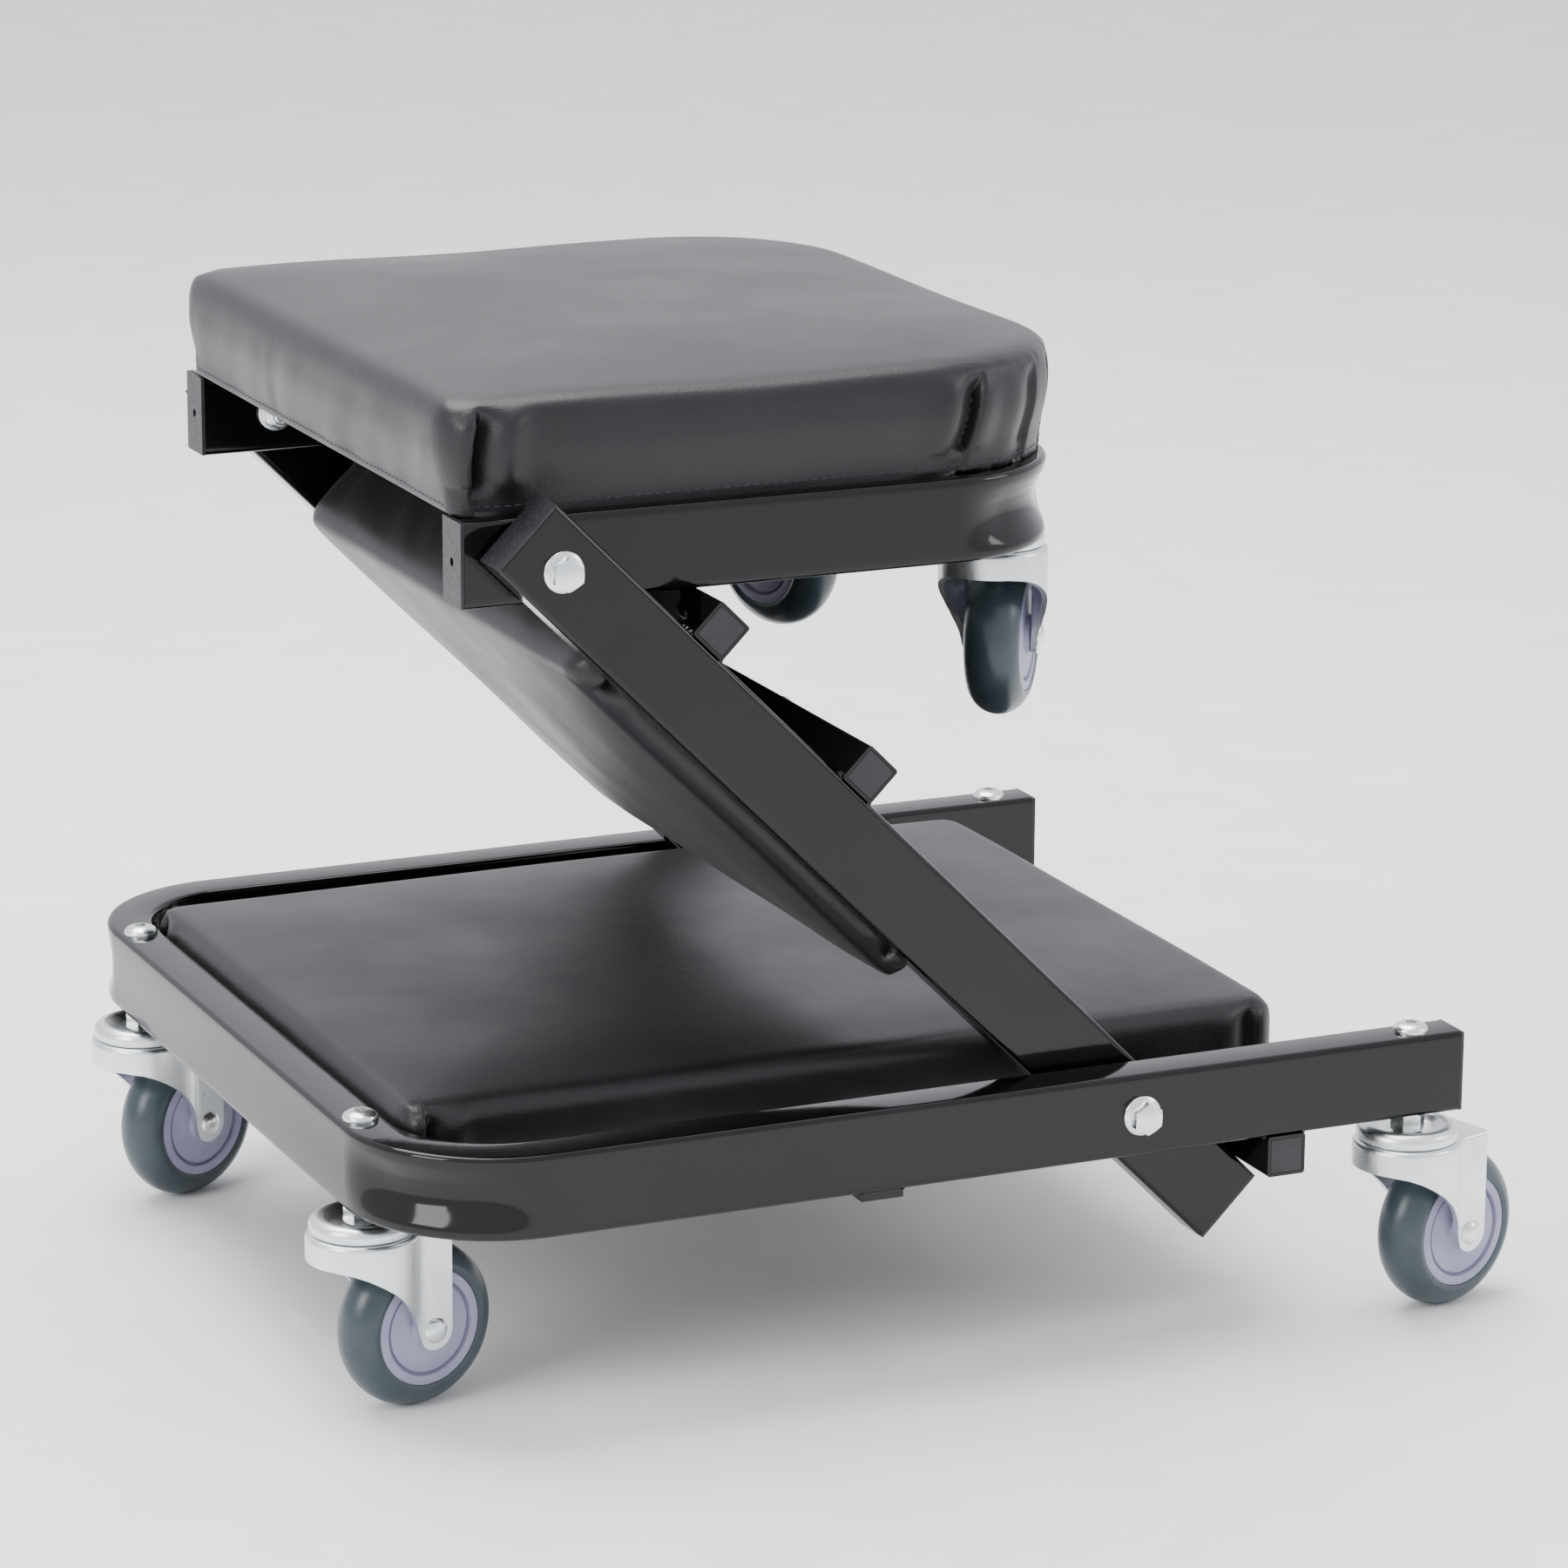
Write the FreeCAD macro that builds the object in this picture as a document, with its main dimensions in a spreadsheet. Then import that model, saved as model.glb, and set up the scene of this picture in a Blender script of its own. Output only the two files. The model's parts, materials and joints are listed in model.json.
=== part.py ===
"""Folding mechanics creeper, stored folded up as a low rolling seat.

Frame of the part: +X runs from the closed end of the lower frame to its open end, +Y is the
left side of a person looking along +X, +Z is up. The origin is on the floor, under the middle
of the whole object. All lengths are millimetres and all angles degrees.

Three sections make the creeper. The lower frame stands on four casters, two arms hinge on it
and lean back, and the seat frame hinges on the top of the arms and carries two more casters.
"""
import FreeCAD, Part
import math
import os
import Sketcher
from FreeCAD import Placement, Rotation, Vector

doc = FreeCAD.newDocument("Creeper")

# ---------------------------------------------------------------- driving dimensions
sheet = doc.addObject("Spreadsheet::Sheet", "Dims")

DIMENSIONS = [
    # rectangular steel tube of the two frames and the arms
    ("railHigh", 38),           # height of the tube
    ("railWide", 22),           # width of the tube
    ("railCorner", 2.5),        # outer corner radius of the tube
    ("tubeWall", 1.5),
    ("plateThick", 1.6),        # welded plate that closes a tube end
    ("plateInset", 0.4),        # the plate is this much smaller than the tube all round
    ("ventRadius", 2.0),        # small hole in the end plates of the seat rails
    ("bendOuter", 70),          # outside radius of a frame's bends, seen from above
    ("pinchDeep", 5.6),         # how far the outer wall of a bend is drawn in
    ("pinchHalf", 15),          # half the height of that drawn-in band
    # lower frame
    ("openEnd", 243.81),        # X of the open ends of the lower rails
    ("frameLong", 516),
    ("frameWide", 462),
    ("railUnder", 99),          # floor to the underside of the lower rails
    ("pivotFromEnd", 163.5),    # open end to the arms' hinge axis
    ("strapFromEnd", 290),      # open end to the middle of the flat strap
    ("strapWide", 20),
    ("strapThick", 4),
    ("strapInset", 2),
    # cross tubes
    ("crossSize", 19),
    ("crossCorner", 1.5),
    ("capInset", 0.2),          # gap round the cap that closes a cross tube's end
    # arms, described as they lie when the creeper is unfolded
    ("armLean", 135),           # how far the arms are turned back from flat
    ("armSpan", 377.5),         # hinge axis to hinge axis
    ("armTop", 21.5),           # arm past the upper hinge axis
    ("armTail", 82),            # arm past the lower hinge axis
    ("stopReach", 64.6),        # hinge axis to the near face of a stopping cross tube
    ("middleCross", 203.5),     # lower hinge axis to the middle of the second cross tube
    ("sideGap", 2.8),           # washer gap between two neighbouring tubes
    # seat frame
    ("seatTail", 35),           # seat rail past the upper hinge axis
    ("seatLong", 300),
    # hinge bolts
    ("boltRadius", 4),
    ("boltPlay", 0.08),         # running clearance on the radius
    ("boltFlange", 9),
    ("boltFlangeThick", 1.6),
    ("boltHex", 13),
    ("boltHexHigh", 6.4),
    ("washerRadius", 9),
    ("washerThick", 1.5),
    ("spacerThick", 2.4),
    ("nutHex", 13),
    ("nutHigh", 7.5),
    # pads
    ("padHalf", 171),           # half the width of every pad
    ("padCorner", 16),
    ("padEdge", 7),             # roll of the top edge
    ("boardThick", 9),
    ("boardInset", 3),          # the cushion covers the board's edges by this much
    ("boardCorner", 13),
    ("backPadHigh", 47),
    ("backPadStart", 3),        # gap between the closed end of the frame and the back pad
    ("backPadLong", 427),
    ("middlePadHigh", 47),
    ("middlePadStart", 104),    # from the lower hinge axis along the arm
    ("middlePadEnd", 328),
    ("seatPadHigh", 50),
    ("seatPadLong", 301),
    ("seatPadCorner", 76),      # plan radius at the closed end
    # pad screws, driven from below
    ("screwRadius", 2),
    ("screwHead", 4.6),
    ("screwHeadHigh", 2.4),
    ("screwBite", 7),           # length of screw inside the board
    ("screwSide", 101),         # side distance of the screws in the cross tubes
    ("seatScrewSide", 164.6),
    ("seatScrewNear", 60),      # from the seat's hinge axis
    ("seatScrewFar", 180),
    # casters, measured down from the underside of the rail
    ("axleDrop", 61),
    ("wheelRadius", 38),
    ("treadWide", 26),
    ("shoulderRadius", 28.6),
    ("hubRadius", 26.5),
    ("hubWide", 24.6),
    ("hubGroove", 21.8),
    ("grooveDeep", 1.4),
    ("grooveWide", 1.2),
    ("hubBoss", 8),
    ("hubBossWide", 28.6),
    ("axleRadius", 4),
    ("rivetRadius", 5.8),
    ("rivetHigh", 2.8),
    ("trail", 27),
    ("forkRadius", 25),
    ("forkHalf", 17),
    ("sheetThick", 2.5),
    ("forkTop", 13),            # top of the fork's crown
    ("forkSkirt", 25),          # bottom of the fork's skirt
    ("forkEnd", 9),             # radius of a leg's lower end
    ("legStart", 16),           # a leg leaves the skirt this far ahead of the stem
    ("forkRoll", 3),            # rounding of the crown's edge
    ("capBowl", 15.5),          # radius of the dish in the race cap
    ("capPlate", 3),            # thickness of the cap's floor
    ("capRoll", 2.6),
    ("capRadius", 23.5),
    ("capBottom", 12.4),
    ("capTop", 5.4),
    ("kingHex", 14),
    ("kingHexHigh", 9.4),
    ("kingRadius", 4.9),
    ("kingHoleRadius", 4.98),
    ("kingFoot", 9),
    ("footGap", 0.2),
    ("footThick", 2.2),
    ("ballRadius", 2),
    ("ballPitch", 19),
    ("raceGap", 0.3),           # room round the balls on the fork's side
    ("pivotGap", 0.3),          # side play of a moving tube on its bolt
    ("headPocket", 9.5),        # pocket in the seat board over a caster screw
    ("headPocketDeep", 5.2),
    ("stemHead", 8),
    ("stemHeadHigh", 4.6),
    ("stemRadius", 4),
    ("stemHole", 4.2),
    ("stemDepth", 11),          # screw's reach below the rail
    ("socketHex", 5),
    ("socketDeep", 2.4),
    ("stemSide", 78),           # closed-end casters, in from the outer face of the frame
    ("stemFromEnd", 20.5),      # open-end casters, in from the tube's end
    ("seatStemSide", 98),       # seat casters, out from the middle
]

for row, (alias, value) in enumerate(DIMENSIONS, start=1):
    sheet.set(f"A{row}", alias)
    sheet.set(f"B{row}", str(value))
    sheet.setAlias(f"B{row}", alias)
doc.recompute()

PIVOT_X = "(Dims.openEnd - Dims.pivotFromEnd)"
PIVOT_Z = "(Dims.railUnder + Dims.railHigh / 2)"
SEAT_X = f"({PIVOT_X} + Dims.armSpan * cos(Dims.armLean * 1deg))"
SEAT_Z = f"({PIVOT_Z} + Dims.armSpan * sin(Dims.armLean * 1deg))"
ARM_OUT = "(Dims.frameWide / 2 - Dims.railWide - Dims.sideGap)"
ARM_IN = f"({ARM_OUT} - Dims.railWide)"
SEAT_OUT = f"({ARM_IN} - Dims.sideGap)"
SEAT_IN = f"({SEAT_OUT} - Dims.railWide)"

BALLS_PER_RACE = 20
HEX_SIDES = 6
LEAST_CORNER = 0.4          # inner corner radius of a tube whose wall is thicker than its corner


def size(alias):
    """Value of one driving dimension as a plain number."""
    return float(getattr(sheet, alias))


# ---------------------------------------------------------------- small builders
parts = []


def bind(item, **links):
    """Tie properties to expressions. X, Y, Z and turn are the item's placement."""
    paths = {"X": "Placement.Base.x", "Y": "Placement.Base.y", "Z": "Placement.Base.z",
             "turn": "Placement.Rotation.Angle"}
    for name, expression in links.items():
        if expression != 0:
            item.setExpression(paths.get(name, name), str(expression))
    return item


def node(item, label):
    """Register an object as one kept piece of the creeper."""
    item.Label = label
    parts.append(item)
    return item


def block(name, long, wide, high, X=0, Y=0, Z=0):
    """Box whose X, Y, Z expressions give its lowest corner."""
    box = doc.addObject("Part::Box", name)
    return bind(box, Length=long, Width=wide, Height=high, X=X, Y=Y, Z=Z)


def rod(name, radius, long, axis="Z", X=0, Y=0, Z=0):
    """Cylinder that starts at X, Y, Z and runs along +axis."""
    cylinder = doc.addObject("Part::Cylinder", name)
    if axis == "Y":
        cylinder.Placement = Placement(Vector(), Rotation(Vector(1, 0, 0), -90))
    if axis == "X":
        cylinder.Placement = Placement(Vector(), Rotation(Vector(0, 1, 0), 90))
    return bind(cylinder, Radius=radius, Height=long, X=X, Y=Y, Z=Z)


def hexagon(name, across, long, axis="Z", X=0, Y=0, Z=0):
    """Hexagonal prism, given across its flats."""
    prism = doc.addObject("Part::Prism", name)
    prism.Polygon = HEX_SIDES
    if axis == "Y":
        prism.Placement = Placement(Vector(), Rotation(Vector(1, 0, 0), -90))
    return bind(prism, Circumradius=f"{across} / 2 / cos(30deg)", Height=long, X=X, Y=Y, Z=Z)


def dome(name, radius, high, axis="Z", up=1, X=0, Y=0, Z=0):
    """Low round head: the cap of a sphere on a plane, pointing along +axis or -axis."""
    ball = doc.addObject("Part::Sphere", name + "_ball")
    ball_radius = f"(({radius}) * ({radius}) + ({high}) * ({high})) / (2 * ({high}))"
    bind(ball, Radius=ball_radius, Z=f"({high}) - ({ball_radius})")
    keep = rod(name + "_keep", f"({radius}) * 1.2", high)
    cap = doc.addObject("Part::Common", name)
    cap.Base = ball
    cap.Tool = keep
    tilt = {("Z", 1): Rotation(), ("Z", -1): Rotation(Vector(1, 0, 0), 180),
            ("Y", 1): Rotation(Vector(1, 0, 0), -90), ("Y", -1): Rotation(Vector(1, 0, 0), 90)}
    cap.Placement = Placement(Vector(), tilt[axis, up])
    return bind(cap, X=X, Y=Y, Z=Z)


def fuse(name, shapes):
    """One object from several; touching shapes become one solid, others stay apart."""
    joined = doc.addObject("Part::MultiFuse", name)
    joined.Shapes = shapes
    return joined


def cut(name, base, tools):
    """Base with every tool taken away."""
    result = doc.addObject("Part::Cut", name)
    result.Base = base
    result.Tool = tools[0] if len(tools) == 1 else fuse(name + "_tools", tools)
    return result


def common(name, first, second):
    """What two objects share."""
    result = doc.addObject("Part::Common", name)
    result.Base = first
    result.Tool = second
    return result


def origin_plane(body, role):
    """One of a body's own base planes."""
    return next(item for item in body.Origin.OriginFeatures if item.Role == role)


def new_sketch(body, name, role):
    """Sketch in a body, flat on one of its base planes."""
    sketch = body.newObject("Sketcher::SketchObject", name)
    sketch.AttachmentSupport = [(origin_plane(body, role), "")]
    sketch.MapMode = "FlatFace"
    return sketch


def hold(sketch, kind, *where, to=None):
    """Add a constraint; `to` ties its value to an expression."""
    index = sketch.addConstraint(Sketcher.Constraint(kind, *where))
    if to is not None:
        sketch.setExpression(f"Constraints[{index}]", to)
    return index


def rounded_rectangle(sketch, wide, high, corner, middle=(0, 0), middle_links=("0", "0")):
    """Rectangle with round corners about a middle point. Sizes are (number, expression) pairs."""
    (w, w_link), (t, t_link), (r, r_link) = wide, high, corner
    cx, cy = middle
    left, right, low, top = cx - w / 2, cx + w / 2, cy - t / 2, cy + t / 2
    first = sketch.GeometryCount
    sketch.addGeometry([
        Part.LineSegment(Vector(left + r, top, 0), Vector(right - r, top, 0)),
        Part.LineSegment(Vector(right, top - r, 0), Vector(right, low + r, 0)),
        Part.LineSegment(Vector(right - r, low, 0), Vector(left + r, low, 0)),
        Part.LineSegment(Vector(left, low + r, 0), Vector(left, top - r, 0)),
    ], False)
    quarter = math.pi / 2
    corners = [((right - r, top - r), 0), ((right - r, low + r), 3),
               ((left + r, low + r), 2), ((left + r, top - r), 1)]
    for (x, y), turn in corners:
        circle = Part.Circle(Vector(x, y, 0), Vector(0, 0, 1), r)
        sketch.addGeometry(Part.ArcOfCircle(circle, turn * quarter, (turn + 1) * quarter), False)
    for side in range(4):
        arc = first + 4 + side
        hold(sketch, "Tangent", first + side, 2, arc, 2)
        hold(sketch, "Tangent", arc, 1, first + (side + 1) % 4, 1)
    hold(sketch, "Horizontal", first)
    hold(sketch, "Horizontal", first + 2)
    hold(sketch, "Vertical", first + 1)
    hold(sketch, "Vertical", first + 3)
    for arc in range(first + 5, first + 8):
        hold(sketch, "Equal", first + 4, arc)
    hold(sketch, "Radius", first + 4, r, to=r_link)
    x_link, y_link = middle_links
    hold(sketch, "DistanceX", -1, 1, first + 1, 1, right, to=f"({x_link}) + ({w_link}) / 2")
    hold(sketch, "DistanceX", first + 3, 1, first + 1, 2, w, to=w_link)
    hold(sketch, "DistanceY", -1, 1, first, 1, top, to=f"({y_link}) + ({t_link}) / 2")
    hold(sketch, "DistanceY", first + 2, 1, first, 2, t, to=t_link)


def tube_body(name, long, wide, high, corner, role="XZ_Plane"):
    """Straight rectangular tube, centred on its body's origin along its length.

    With role XZ_Plane the tube runs along Y, with YZ_Plane along X.
    """
    body = doc.addObject("PartDesign::Body", name)
    sketch = new_sketch(body, name + "_section", role)
    wall = size("tubeWall")
    (w, w_link), (t, t_link), (r, r_link) = wide, high, corner
    rounded_rectangle(sketch, wide, high, corner)
    inner = (max(r - wall, LEAST_CORNER), f"max({r_link} - Dims.tubeWall; {LEAST_CORNER})")
    rounded_rectangle(sketch, (w - 2 * wall, f"{w_link} - 2 * Dims.tubeWall"),
                      (t - 2 * wall, f"{t_link} - 2 * Dims.tubeWall"), inner)
    pad = body.newObject("PartDesign::Pad", name + "_tube")
    pad.Profile = sketch
    pad.Midplane = True
    pad.setExpression("Length", long)
    return body


PINCH_SECTOR = 90
PINCH_SHIFT = ("(Dims.pinchDeep * (2 * Dims.bendOuter - Dims.pinchDeep)"
               " / (2 * (Dims.bendOuter * (1 - cos(45deg)) - Dims.pinchDeep)))")


def ring_cutter(name, wall_link):
    """Curved bar that draws in the outer wall of a bend, deepest at the middle of the bend.

    It is a sector of a ring whose centre lies inward of the bend's own centre, so it leaves the
    wall smoothly at both ends of the bend. The sector points along +X before it is placed.
    """
    ring = doc.addObject("Part::Torus", name)
    section = "((Dims.pinchHalf ^ 2 + Dims.pinchDeep ^ 2) / (2 * Dims.pinchDeep))"
    ring.Angle1 = -180
    ring.Angle2 = 180
    ring.Angle3 = PINCH_SECTOR
    bind(ring, Radius2=f"{section} + {wall_link}",
         Radius1=f"Dims.bendOuter - Dims.pinchDeep + {PINCH_SHIFT} + {section}")
    return ring


def bent_solid(name, long, wide_out, inset):
    """U-shaped bar of the frames' tube section, shrunk all round by `inset` (number, link).

    The closed end is at the low X end, the two open ends are at X = 0 and the section's middle
    is at Z = 0.
    """
    gap, gap_link = inset
    body = doc.addObject("PartDesign::Body", name)
    path = new_sketch(body, name + "_path", "XY_Plane")
    rail = size("railWide")
    r = size("bendOuter") - rail / 2
    reach, reach_link = long
    half, half_link = wide_out
    back, y = -(reach - rail / 2), half - rail / 2
    quarter = math.pi / 2
    upper = Part.Circle(Vector(back + r, y - r, 0), Vector(0, 0, 1), r)
    lower = Part.Circle(Vector(back + r, r - y, 0), Vector(0, 0, 1), r)
    path.addGeometry([
        Part.LineSegment(Vector(0, y, 0), Vector(back + r, y, 0)),
        Part.ArcOfCircle(upper, quarter, 2 * quarter),
        Part.LineSegment(Vector(back, y - r, 0), Vector(back, r - y, 0)),
        Part.ArcOfCircle(lower, 2 * quarter, 3 * quarter),
        Part.LineSegment(Vector(back + r, -y, 0), Vector(0, -y, 0)),
    ], False)
    for piece in range(4):
        hold(path, "Tangent", piece, 2, piece + 1, 1)
    hold(path, "Horizontal", 0)
    hold(path, "Vertical", 2)
    hold(path, "Horizontal", 4)
    hold(path, "Equal", 1, 3)
    hold(path, "PointOnObject", 0, 1, -2)
    hold(path, "PointOnObject", 4, 2, -2)
    hold(path, "Radius", 1, r, to="Dims.bendOuter - Dims.railWide / 2")
    hold(path, "DistanceY", -1, 1, 0, 1, y, to=f"{half_link} - Dims.railWide / 2")
    hold(path, "DistanceY", 4, 2, -1, 1, y, to=f"{half_link} - Dims.railWide / 2")
    hold(path, "DistanceX", 2, 1, -1, 1, -back, to=f"{reach_link} - Dims.railWide / 2")
    section = new_sketch(body, name + "_section", "YZ_Plane")
    high = size("railHigh")
    corner = size("railCorner")
    rounded_rectangle(section, (rail - 2 * gap, f"Dims.railWide - 2 * {gap_link}"),
                      (high - 2 * gap, f"Dims.railHigh - 2 * {gap_link}"),
                      (corner - gap, f"Dims.railCorner - {gap_link}"),
                      middle=(y, 0), middle_links=(f"{half_link} - Dims.railWide / 2", "0"))
    pipe = body.newObject("PartDesign::AdditivePipe", name + "_pipe")
    pipe.Profile = section
    pipe.Spine = (path, [f"Edge{number}" for number in range(1, 6)])
    solids = [body]
    for side, angle in ((1, 135), (-1, 225)):
        pinch = ring_cutter(f"{name}_pinch{side + 2}", gap_link)
        centre_x = f"-({reach_link} - Dims.bendOuter) + {PINCH_SHIFT} * cos(45deg)"
        centre_y = f"{side} * ({half_link} - Dims.bendOuter - {PINCH_SHIFT} * cos(45deg))"
        pinch.Placement = Placement(Vector(), Rotation(Vector(0, 0, 1), angle - PINCH_SECTOR / 2))
        bind(pinch, X=centre_x, Y=centre_y)
        solids.append(pinch)
    return cut(name + "_bar", solids[0], solids[1:])


def bent_tube(name, long, wide_out, holes):
    """U-shaped hollow frame tube with drilled holes."""
    outside = bent_solid(name + "_outside", long, wide_out, (0, "0"))
    inside = bent_solid(name + "_inside", long, wide_out, (size("tubeWall"), "Dims.tubeWall"))
    return cut(name + "_cut", outside, [inside] + holes)


def pair(name, make):
    """The same piece on the right (-Y) and left (+Y) side, fused into one object."""
    return fuse(name, [make(f"{name}_{side}", sign) for side, sign in (("right", -1), ("left", 1))])


def end_plate(name, X, Y, vent):
    """Plate welded on the end of a frame rail, square to X, with its middle at height 0."""
    plate = block(name + "_blank", "Dims.plateThick", "Dims.railWide - 2 * Dims.plateInset",
                  "Dims.railHigh - 2 * Dims.plateInset", X=X,
                  Y=f"{Y} - Dims.railWide / 2 + Dims.plateInset",
                  Z="Dims.plateInset - Dims.railHigh / 2")
    if not vent:
        return plate
    hole = rod(name + "_vent", "Dims.ventRadius", "3 * Dims.plateThick", axis="X",
               X=f"{X} - Dims.plateThick", Y=Y)
    return cut(name, plate, [hole])


def place(item, section):
    """Put a piece, made about its section's hinge axis, where that section stands folded."""
    if section == "arms":
        item.Placement = Placement(Vector(), Rotation(Vector(0, -1, 0), size("armLean")))
        return bind(item, X=PIVOT_X, Z=PIVOT_Z, turn="Dims.armLean")
    if section == "seat":
        return bind(item, X=SEAT_X, Z=SEAT_Z)
    return bind(item, X="Dims.openEnd", Z=PIVOT_Z)


# ---------------------------------------------------------------- lower frame
LOWER_HALF = "Dims.frameWide / 2"
RAIL_MIDDLE = f"({LOWER_HALF} - Dims.railWide / 2)"
BASE_PIVOT = "(0 - Dims.pivotFromEnd)"
LOWER_CROSS = f"({BASE_PIVOT} + Dims.stopReach + Dims.crossSize / 2)"
UNDER_RAIL = "(0 - Dims.railHigh / 2)"
CLOSED_STEM_X = "(Dims.railWide / 2 - Dims.frameLong)"
OPEN_STEM_X = "(0 - Dims.stemFromEnd)"
STRAP_X = "(0 - Dims.strapFromEnd)"
CLOSED_STEM_Y = f"({LOWER_HALF} - Dims.stemSide)"

lower_stems = [(name, x, f"{sign} * {y}", sign) for name, x, y in
               (("back", CLOSED_STEM_X, CLOSED_STEM_Y), ("middle", OPEN_STEM_X, RAIL_MIDDLE))
               for sign in (-1, 1)]

lower_holes = [rod(f"lower_stem_hole_{name}{sign + 1}", "Dims.stemHole", "2 * Dims.railHigh",
                   X=x, Y=y, Z="0 - Dims.railHigh") for name, x, y, sign in lower_stems]
lower_holes.append(rod("lower_pivot_hole", "Dims.boltRadius", "2 * Dims.frameWide", axis="Y",
                       X=BASE_PIVOT, Y="0 - Dims.frameWide"))
lower_frame = bent_tube("lower_frame", (size("frameLong"), "Dims.frameLong"),
                        (size("frameWide") / 2, LOWER_HALF), lower_holes)
place(node(lower_frame, "lower_frame"), "base")

lower_plates = pair("lower_plates", lambda name, sign: end_plate(
    name, "0", f"{sign} * {RAIL_MIDDLE}", vent=False))
place(node(lower_plates, "lower_rail_end_plates"), "base")


def cross_tube(name, long, X, Z):
    """Square tube across the creeper, with two screw holes straight through it."""
    square = (size("crossSize"), "Dims.crossSize")
    body = tube_body(name + "_blank", long, square, square,
                     (size("crossCorner"), "Dims.crossCorner"))
    bind(body, X=X, Z=Z)
    holes = [rod(f"{name}_hole{sign + 1}", "Dims.screwRadius", "2 * Dims.crossSize", X=X,
                 Y=f"{sign} * Dims.screwSide", Z=f"{Z} - Dims.crossSize") for sign in (-1, 1)]
    return cut(name + "_cut", body, holes)


def cross_caps(name, X, Z, half_link):
    """Thin plates that close both ends of a cross tube."""
    inner = "(Dims.crossSize - 2 * Dims.tubeWall - 2 * Dims.capInset)"
    return pair(name, lambda one, sign: block(
        one, inner, "Dims.tubeWall", inner, X=f"{X} - {inner} / 2", Z=f"{Z} - {inner} / 2",
        Y=f"{sign} * ({half_link} - Dims.tubeWall / 2) - Dims.tubeWall / 2"))


LOWER_CROSS_Z = f"({UNDER_RAIL} - Dims.crossSize / 2)"
lower_cross = cross_tube("lower_cross", "Dims.frameWide", LOWER_CROSS, LOWER_CROSS_Z)
place(node(lower_cross, "lower_cross_tube"), "base")
lower_caps = cross_caps("lower_cross_caps", LOWER_CROSS, LOWER_CROSS_Z, LOWER_HALF)
place(node(lower_caps, "lower_cross_tube_caps"), "base")

strap_bar = block("strap_bar", "Dims.strapWide", "Dims.frameWide - 2 * Dims.strapInset",
                  "Dims.strapThick", X=f"{STRAP_X} - Dims.strapWide / 2",
                  Y=f"Dims.strapInset - {LOWER_HALF}", Z=f"{UNDER_RAIL} - Dims.strapThick")
strap_holes = [rod(f"strap_hole{sign + 1}", "Dims.screwRadius", "4 * Dims.strapThick", X=STRAP_X,
                   Y=f"{sign} * Dims.screwSide", Z=f"{UNDER_RAIL} - 2 * Dims.strapThick")
               for sign in (-1, 1)]
place(node(cut("strap", strap_bar, strap_holes), "lower_support_strap"), "base")


# ---------------------------------------------------------------- arms
# Everything here is made about the lower hinge axis with the arm lying flat along +X. The
# cross tubes are then below it and the pad on top.
ARM_MIDDLE = f"({ARM_OUT} - Dims.railWide / 2)"
ARM_LONG = "(Dims.armTail + Dims.armSpan + Dims.armTop)"
UPPER_CROSS = "(Dims.armSpan - Dims.stopReach - Dims.crossSize / 2)"
ARM_CROSS_Z = "(0 - Dims.railHigh / 2 - Dims.crossSize / 2)"

for label, sign in (("right_arm", -1), ("left_arm", 1)):
    tube = tube_body(label + "_tube", ARM_LONG, (size("railWide"), "Dims.railWide"),
                     (size("railHigh"), "Dims.railHigh"), (size("railCorner"), "Dims.railCorner"),
                     role="YZ_Plane")
    bind(tube, X=f"{ARM_LONG} / 2 - Dims.armTail", Y=f"{sign} * {ARM_MIDDLE}")
    bores = [rod(f"{label}_{end}_bore", radius, "Dims.frameWide", axis="Y", X=x,
                 Y=f"{sign} * {LOWER_HALF} - {LOWER_HALF}")
             for end, x, radius in (("lower", "0", "Dims.boltRadius + Dims.boltPlay"),
                                    ("upper", "Dims.armSpan", "Dims.boltRadius"))]
    place(node(cut(label + "_cut", tube, bores), label), "arms")

arm_plates = fuse("arm_plates", [
    block(f"arm_plate_{end}{sign + 1}", "Dims.plateThick",
          "Dims.railWide - 2 * Dims.plateInset", "Dims.railHigh - 2 * Dims.plateInset", X=x,
          Y=f"{sign} * {ARM_MIDDLE} - Dims.railWide / 2 + Dims.plateInset",
          Z="Dims.plateInset - Dims.railHigh / 2")
    for end, x in (("top", "Dims.armSpan + Dims.armTop"),
                   ("tail", "0 - Dims.armTail - Dims.plateThick")) for sign in (-1, 1)])
place(node(arm_plates, "arm_end_plates"), "arms")

for label, x in (("arm_upper_cross_tube", UPPER_CROSS),
                 ("arm_middle_cross_tube", "Dims.middleCross")):
    place(node(cross_tube(label, f"2 * {ARM_OUT}", x, ARM_CROSS_Z), label), "arms")

arm_caps = fuse("arm_caps", [cross_caps("upper_caps", UPPER_CROSS, ARM_CROSS_Z, ARM_OUT),
                             cross_caps("middle_caps", "Dims.middleCross", ARM_CROSS_Z, ARM_OUT)])
place(node(arm_caps, "arm_cross_tube_caps"), "arms")


# ---------------------------------------------------------------- seat frame
SEAT_END = "(0 - Dims.seatTail)"
SEAT_MIDDLE = f"({SEAT_OUT} - Dims.railWide / 2)"
SEAT_STEM_X = f"({SEAT_END} + Dims.seatLong - Dims.railWide / 2)"
SEAT_SCREW_X = ("Dims.seatScrewNear", "Dims.seatScrewFar")

seat_stems = [("head", SEAT_STEM_X, f"{sign} * Dims.seatStemSide", sign) for sign in (-1, 1)]
seat_half = (size("frameWide") / 2 - 2 * size("railWide") - 2 * size("sideGap"), SEAT_OUT)

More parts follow.
